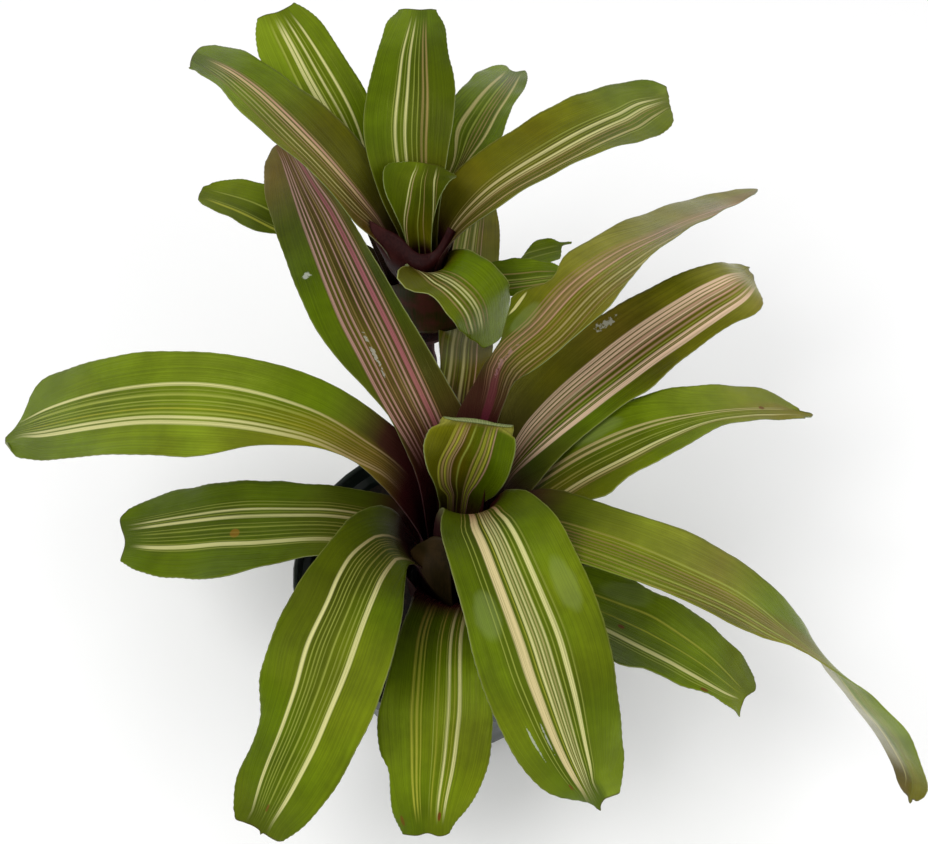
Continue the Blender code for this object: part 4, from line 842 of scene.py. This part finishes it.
def leafMaterial(name, leaf):
    material, tree, shader = newMaterial(name)
    laneX, laneY = uvParts(tree, "lane")
    bladeX, bladeY = uvParts(tree, "blade")
    seed = leaf["age"] * skin["seeds"][0]
    veins = noise(tree, stretched(tree, laneX, laneY, skin["veins"], seed), *skin["veinNoise"])
    seed += skin["seeds"][1]
    threads = noise(tree, stretched(tree, laneX, laneY, skin["threads"], seed), *skin["threadNoise"])
    place = objectPlace(tree)
    blotches = noise(tree, place, *skin["blotches"])
    clouds = noise(tree, place, *skin["clouds"])
    speckles = noise(tree, place, *skin["speckles"])

    # green tissue, different on the two sides of the leaf: partly the leaf's own colour and partly painted
    # light and shade on the two halves and toward the foot
    sideTonesWithShade = []
    for i in (-1, 1):
        stops = [(row[0], tissueAndShadePaints[row[i]]) for row in leaf["tones"]]
        sideTonesWithShade.append(colourRamp(tree, laneY, stops)[0])
    tissue = mixColours(tree, mapRange(tree, bladeX, *skin["sides"]), *sideTonesWithShade)
    warm = product(tree, mapRange(tree, clouds, *skin["flushed"]), leaf["flush"])
    tissue = mixColours(tree, warm, tissue, skin["warm"], "MULTIPLY")
    shade = product(tree, mapRange(tree, blotches, *skin["blotchShade"]),
                    mapRange(tree, veins, *skin["veinShade"]), mapRange(tree, threads, *skin["threadShade"]))
    shadeColour = node(tree, "ShaderNodeCombineColor")
    for i in range(3):
        link(tree, shade, shadeColour.inputs[i])
    tissue = mixColours(tree, 1.0, tissue, shadeColour.outputs[0], "MULTIPLY")

    # deeper tissue between the stripes
    stripes = sorted((*band, paintName) for paintName, bands in leaf["stripes"].items() for band in bands)
    bandLow = 0.5 + (stripes[0][0] - skin["bandMargin"]) / laneReach
    bandHigh = 0.5 + (stripes[-1][0] + skin["bandMargin"]) / laneReach
    band = product(tree, mapRange(tree, laneX, bandLow, bandLow + skin["bandEase"]),
                   mapRange(tree, laneX, bandHigh - skin["bandEase"], bandHigh, 1.0, 0.0))
    tissue = mixColours(tree, band, tissue, leaf["band"], "MULTIPLY")

    # stripes, broken by veins and threads, faded toward the ends and rosy toward the foot
    colour, alpha = stripeRamps(tree, laneX, stripes)
    end = leaf["end"]
    alpha = product(tree, alpha, mapRange(tree, veins, *skin["veinGaps"]),
                    mapRange(tree, threads, *skin["threadGaps"]),
                    mapRange(tree, laneY, end - skin["stripeEase"], end, skin["stripeStrength"], 0.0),
                    mapRange(tree, laneY, *leaf["fade"]))
    rosy = product(tree, mapRange(tree, laneY, *leaf["rosy"], 1.0, 0.0), leaf["blush"])
    tissue = mixColours(tree, alpha, tissue, mixColours(tree, rosy, colour, skin["rosyPaint"]))

    # thin pale margin, brown tip, and a maroon foot that is partly the sheath's own colour and partly
    # painted shade deep in the rosette
    rim = mathNode(tree, "ABSOLUTE", mathNode(tree, "SUBTRACT", bladeX, 0.5))
    rim = mapRange(tree, rim, *skin["rim"], 0.0, leaf["margin"])
    tissue = mixColours(tree, rim, tissue, skin["rimPaint"])
    tissue = mixColours(tree, mapRange(tree, bladeY, *skin["tip"]), tissue, skin["tipPaint"])
    tissue = mixColours(tree, mapRange(tree, laneY, *leaf["dark"], 1.0, 0.0), tissue, tissueAndShadePaints["maroon"])

    # scars, dry residue and glints
    for spot in leaf["spots"]:
        grain = speckles if spot[4] > skin["speckledFrom"] else blotches
        tissue = mixColours(tree, spotMask(tree, laneX, laneY, grain, spot), tissue, markPaints[spot[6]])
    link(tree, tissue, shader.inputs["Base Color"])

    gloss = mapRange(tree, clouds, *skin["gloss"])
    gloss = mathNode(tree, "ADD", gloss, mapRange(tree, threads, *skin["threadGloss"]))
    link(tree, gloss, shader.inputs["Roughness"])
    relief = mathNode(tree, "ADD", product(tree, veins, skin["veinRelief"]), threads)
    addBump(tree, shader, relief, *skin["bump"])
    shader.inputs["IOR"].default_value = skin["ior"]
    shader.inputs["Specular IOR Level"].default_value = skin["shine"]
    shader.inputs["Specular Tint"].default_value = skin["shineTint"]
    return material


underSkin = {
    "lines": (70.0, 3.0), "lineNoise": (1.0, 3.0), "dark": paint(86, 98, 44), "light": paint(130, 136, 84),
    "blend": (0.4, 0.65), "foot": (0.25, 0.45, 1.0, 0.0), "roughness": (0.3, 0.8, 0.42, 0.6),
    "bump": (0.3, 0.0005),
}


def undersideMaterial(name):
    material, tree, shader = newMaterial(name)
    bladeX, bladeY = uvParts(tree, "blade")
    veins = noise(tree, stretched(tree, bladeX, bladeY, underSkin["lines"]), *underSkin["lineNoise"])
    blend = mapRange(tree, veins, *underSkin["blend"])
    tissue = mixColours(tree, blend, underSkin["dark"], underSkin["light"])
    tissue = mixColours(tree, mapRange(tree, bladeY, *underSkin["foot"]), tissue, tissueAndShadePaints["maroon"])
    link(tree, tissue, shader.inputs["Base Color"])
    link(tree, mapRange(tree, veins, *underSkin["roughness"]), shader.inputs["Roughness"])
    addBump(tree, shader, veins, *underSkin["bump"])
    return material


under = undersideMaterial("leaf_underside")
rosettes = ((mainLeaves, mainGroup, "leaf_green"), (offsetLeaves, offsetGroup, "leaf_young"))
for leaves, group, slotName in rosettes:
    for age, (name, values) in enumerate(leaves.items()):
        leaf = {**leafDefaults, **values, "age": age}
        material = leafMaterial(name + "_skin", leaf)
        lower = material if name == "main_leaf_07" else under
        piece = growLeaf(name + "_blade", leaf, group, [material, lower])
        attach(piece, "root")
        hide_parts(name)
print("leaves grown")

# bits of old sheath between the leaves: rails of points in millimetres, upper edge first
sheaths = {
    "pup_cup": {
        "replaces": "offset_leaf_07", "slot": "leaf_young",
        "dark": paint(34, 9, 9), "light": paint(52, 22, 20),
        "rails": [
            [(-39, 115, 221), (-33, 113, 218), (-25, 112, 213), (-17, 109, 205), (-10, 110, 204),
             (-6, 112, 208), (-2, 116, 215)],
            [(-37, 110, 215), (-32, 107, 208), (-25, 105, 202), (-17, 103, 197), (-10, 106, 199),
             (-4, 110, 205), (1, 116, 212)],
            [(-33, 110, 202), (-30, 110, 192), (-25, 109, 185), (-17, 107, 182), (-10, 110, 187),
             (-4, 114, 196), (1, 119, 206)],
        ],
    },
    "pup_old_leaf": {
        "replaces": "offset_leaf_03", "slot": "leaf_young",
        "dark": paint(40, 42, 8), "light": paint(78, 38, 32),
        "rails": [
            [(-30, 101, 190), (-24, 97, 196), (-18, 95, 197), (-11, 95, 195), (-4, 97, 190)],
            [(-26, 99, 172), (-20, 96, 174), (-13, 95, 175), (-6, 96, 174), (1, 99, 171)],
            [(-21, 99, 160), (-16, 96, 162), (-10, 95, 163), (-4, 96, 163), (3, 99, 162)],
        ],
    },
    "old_sheath": {
        "replaces": "main_leaf_03", "slot": "leaf_green",
        "dark": paint(26, 20, 6), "light": paint(44, 32, 14),
        "rails": [
            [(-19, -14, 138), (-16, -15, 145), (-12.5, -16, 150), (-8, -16, 154), (-2, -18, 155)],
            [(-18, -16, 134), (-15, -20, 138), (-11, -22, 141), (-7, -23, 143), (-1, -25, 143)],
            [(-16, -16, 130), (-13, -21, 127), (-9, -25, 121), (-5, -28, 117), (0, -31, 114)],
        ],
    },
}
sheathForm = {
    "across": 24, "along": 12, "railSteps": 8, "ribSteps": 6, "thickness": 0.0008,
    "threadScale": (900.0, 900.0, 60.0), "threads": (1.0, 3.0), "clouds": (70.0, 3.0), "blend": (0.45, 0.68),
    "threadBlend": (0.4, 0.7, 0.0, 0.4), "roughness": (0.3, 0.7, 0.34, 0.55), "shine": 0.06,
    "bump": (0.3, 0.0004),
}


def sheathMaterial(name, dark, light):
    # dark papery sheath with lengthwise threads
    material, tree, shader = newMaterial(name)
    place = objectPlace(tree)
    stretch = node(tree, "ShaderNodeMapping", Scale=sheathForm["threadScale"])
    link(tree, place, stretch.inputs["Vector"])
    threads = noise(tree, stretch.outputs[0], *sheathForm["threads"])
    clouds = noise(tree, place, *sheathForm["clouds"])
    tissue = mixColours(tree, mapRange(tree, clouds, *sheathForm["blend"]), dark, light)
    tissue = mixColours(tree, mapRange(tree, threads, *sheathForm["threadBlend"]), tissue, light)
    link(tree, tissue, shader.inputs["Base Color"])
    link(tree, mapRange(tree, clouds, *sheathForm["roughness"]), shader.inputs["Roughness"])
    shader.inputs["Specular IOR Level"].default_value = sheathForm["shine"]
    addBump(tree, shader, threads, *sheathForm["bump"])
    return material


def growSheath(name, values):
    # a thin curved scale between its rails
    bm = bmesh.new()
    bmesh.ops.create_grid(bm, x_segments=sheathForm["across"], y_segments=sheathForm["along"], size=0.5)
    rails = [[Vector(point) for point in rail] for rail in values["rails"]]
    rails = [smoothPath(rail, sheathForm["railSteps"]) for rail in rails]
    for vert in bm.verts:
        ribs = [pathPoint(rail, vert.co.x + 0.5) for rail in rails]
        vert.co = pathPoint(smoothPath(ribs, sheathForm["ribSteps"]), vert.co.y + 0.5)
    piece = finishMesh(name, bm, [sheathMaterial(name + "_skin", values["dark"], values["light"])])
    addWall(piece, sheathForm["thickness"])
    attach(piece, "root")
    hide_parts(values["replaces"])


for name, values in sheaths.items():
    growSheath(name, values)
print("old sheaths set")

plastic = {
    "dark": paint(20, 30, 26), "light": paint(36, 46, 42), "haze": (18.0, 5.0, 0.65), "blend": (0.35, 0.7),
    "roughness": (0.3, 0.7, 0.3, 0.5), "grain": 900.0, "bump": (0.15, 0.0004),
}
barks = {
    "soil": {"name": "bark_soil", "dark": paint(14, 9, 7), "light": paint(46, 32, 24), "lumps": 180.0},
    "main_stem": {"name": "stem_fibre", "dark": paint(36, 14, 18), "light": paint(72, 36, 34),
                  "lumps": 260.0},
    "offset_stem": {"name": "runner_bracts", "dark": paint(40, 14, 20), "light": paint(78, 34, 38),
                    "lumps": 260.0},
}
barkForm = {"grain": (6.0, 0.7), "blend": (0.35, 0.7), "roughness": 0.9, "bump": (0.8, 0.002)}


def plasticMaterial():
    material, tree, shader = newMaterial("pot_plastic_worn")
    place = objectPlace(tree)
    haze = noise(tree, place, *plastic["haze"])
    colour = mixColours(tree, mapRange(tree, haze, *plastic["blend"]), plastic["dark"], plastic["light"])
    link(tree, colour, shader.inputs["Base Color"])
    link(tree, mapRange(tree, haze, *plastic["roughness"]), shader.inputs["Roughness"])
    addBump(tree, shader, noise(tree, place, plastic["grain"]), *plastic["bump"])
    return material


def barkMaterial(values):
    material, tree, shader = newMaterial(values["name"])
    lumps = noise(tree, objectPlace(tree), values["lumps"], *barkForm["grain"])
    colour = mixColours(tree, mapRange(tree, lumps, *barkForm["blend"]), values["dark"], values["light"])
    link(tree, colour, shader.inputs["Base Color"])
    shader.inputs["Roughness"].default_value = barkForm["roughness"]
    addBump(tree, shader, lumps, *barkForm["bump"])
    return material


dressing = {"pot": plasticMaterial(), **{name: barkMaterial(values) for name, values in barks.items()}}
for nodeName, material in dressing.items():
    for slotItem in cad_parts[nodeName].material_slots:
        slotItem.material = material
print("pot, soil and stems dressed")

# floor, light and camera
studio = {
    "floorSize": 6.0, "floorTone": 0.93, "floorRoughness": 0.9, "skyTone": 1.0, "skyStrength": 0.78,
    "aim": (0, 0.05, 0.15),
}
lights = {
    "key_light": {"place": (-0.9, -0.6, 1.9), "size": 1.2, "power": 19.0},
    "fill_light": {"place": (1.2, -0.9, 1.2), "size": 1.4, "power": 8.0},
}
view = {"place": (0.00536, -0.3419, 0.6901), "tilt": 35.98, "lens": 54.11, "sensor": 36.0, "nearest": 0.01}

floorBm = bmesh.new()
bmesh.ops.create_grid(floorBm, x_segments=1, y_segments=1, size=studio["floorSize"])
floorMaterial, _, floorShader = newMaterial("floor_paper")
floorShader.inputs["Base Color"].default_value = (studio["floorTone"],) * 3 + (1.0,)
floorShader.inputs["Roughness"].default_value = studio["floorRoughness"]
floor = finishMesh("studio_floor", floorBm, [floorMaterial], scale=1.0)

world = bpy.data.worlds.new("studio")
bpy.context.scene.world = world
world.use_nodes = True
world.node_tree.nodes["Background"].inputs[0].default_value = (studio["skyTone"],) * 3 + (1.0,)
world.node_tree.nodes["Background"].inputs[1].default_value = studio["skyStrength"]

for name, values in lights.items():
    lamp = bpy.data.lights.new(name, "AREA")
    lamp.shape = "DISK"
    lamp.size = values["size"]
    lamp.energy = values["power"]
    thing = bpy.data.objects.new(name, lamp)
    bpy.context.scene.collection.objects.link(thing)
    thing.location = values["place"]
    aim = Vector(studio["aim"]) - Vector(values["place"])
    thing.rotation_euler = aim.to_track_quat("-Z", "Y").to_euler()

cameraData = bpy.data.cameras.new("photo_view")
cameraData.sensor_fit = "HORIZONTAL"
cameraData.sensor_width = view["sensor"]
cameraData.lens = view["lens"]
cameraData.clip_start = view["nearest"]
camera = bpy.data.objects.new("photo_view", cameraData)
camera.location = view["place"]
camera.rotation_euler = (math.radians(view["tilt"]), 0, 0)
bpy.context.scene.collection.objects.link(camera)
bpy.context.scene.camera = camera
print("studio set")
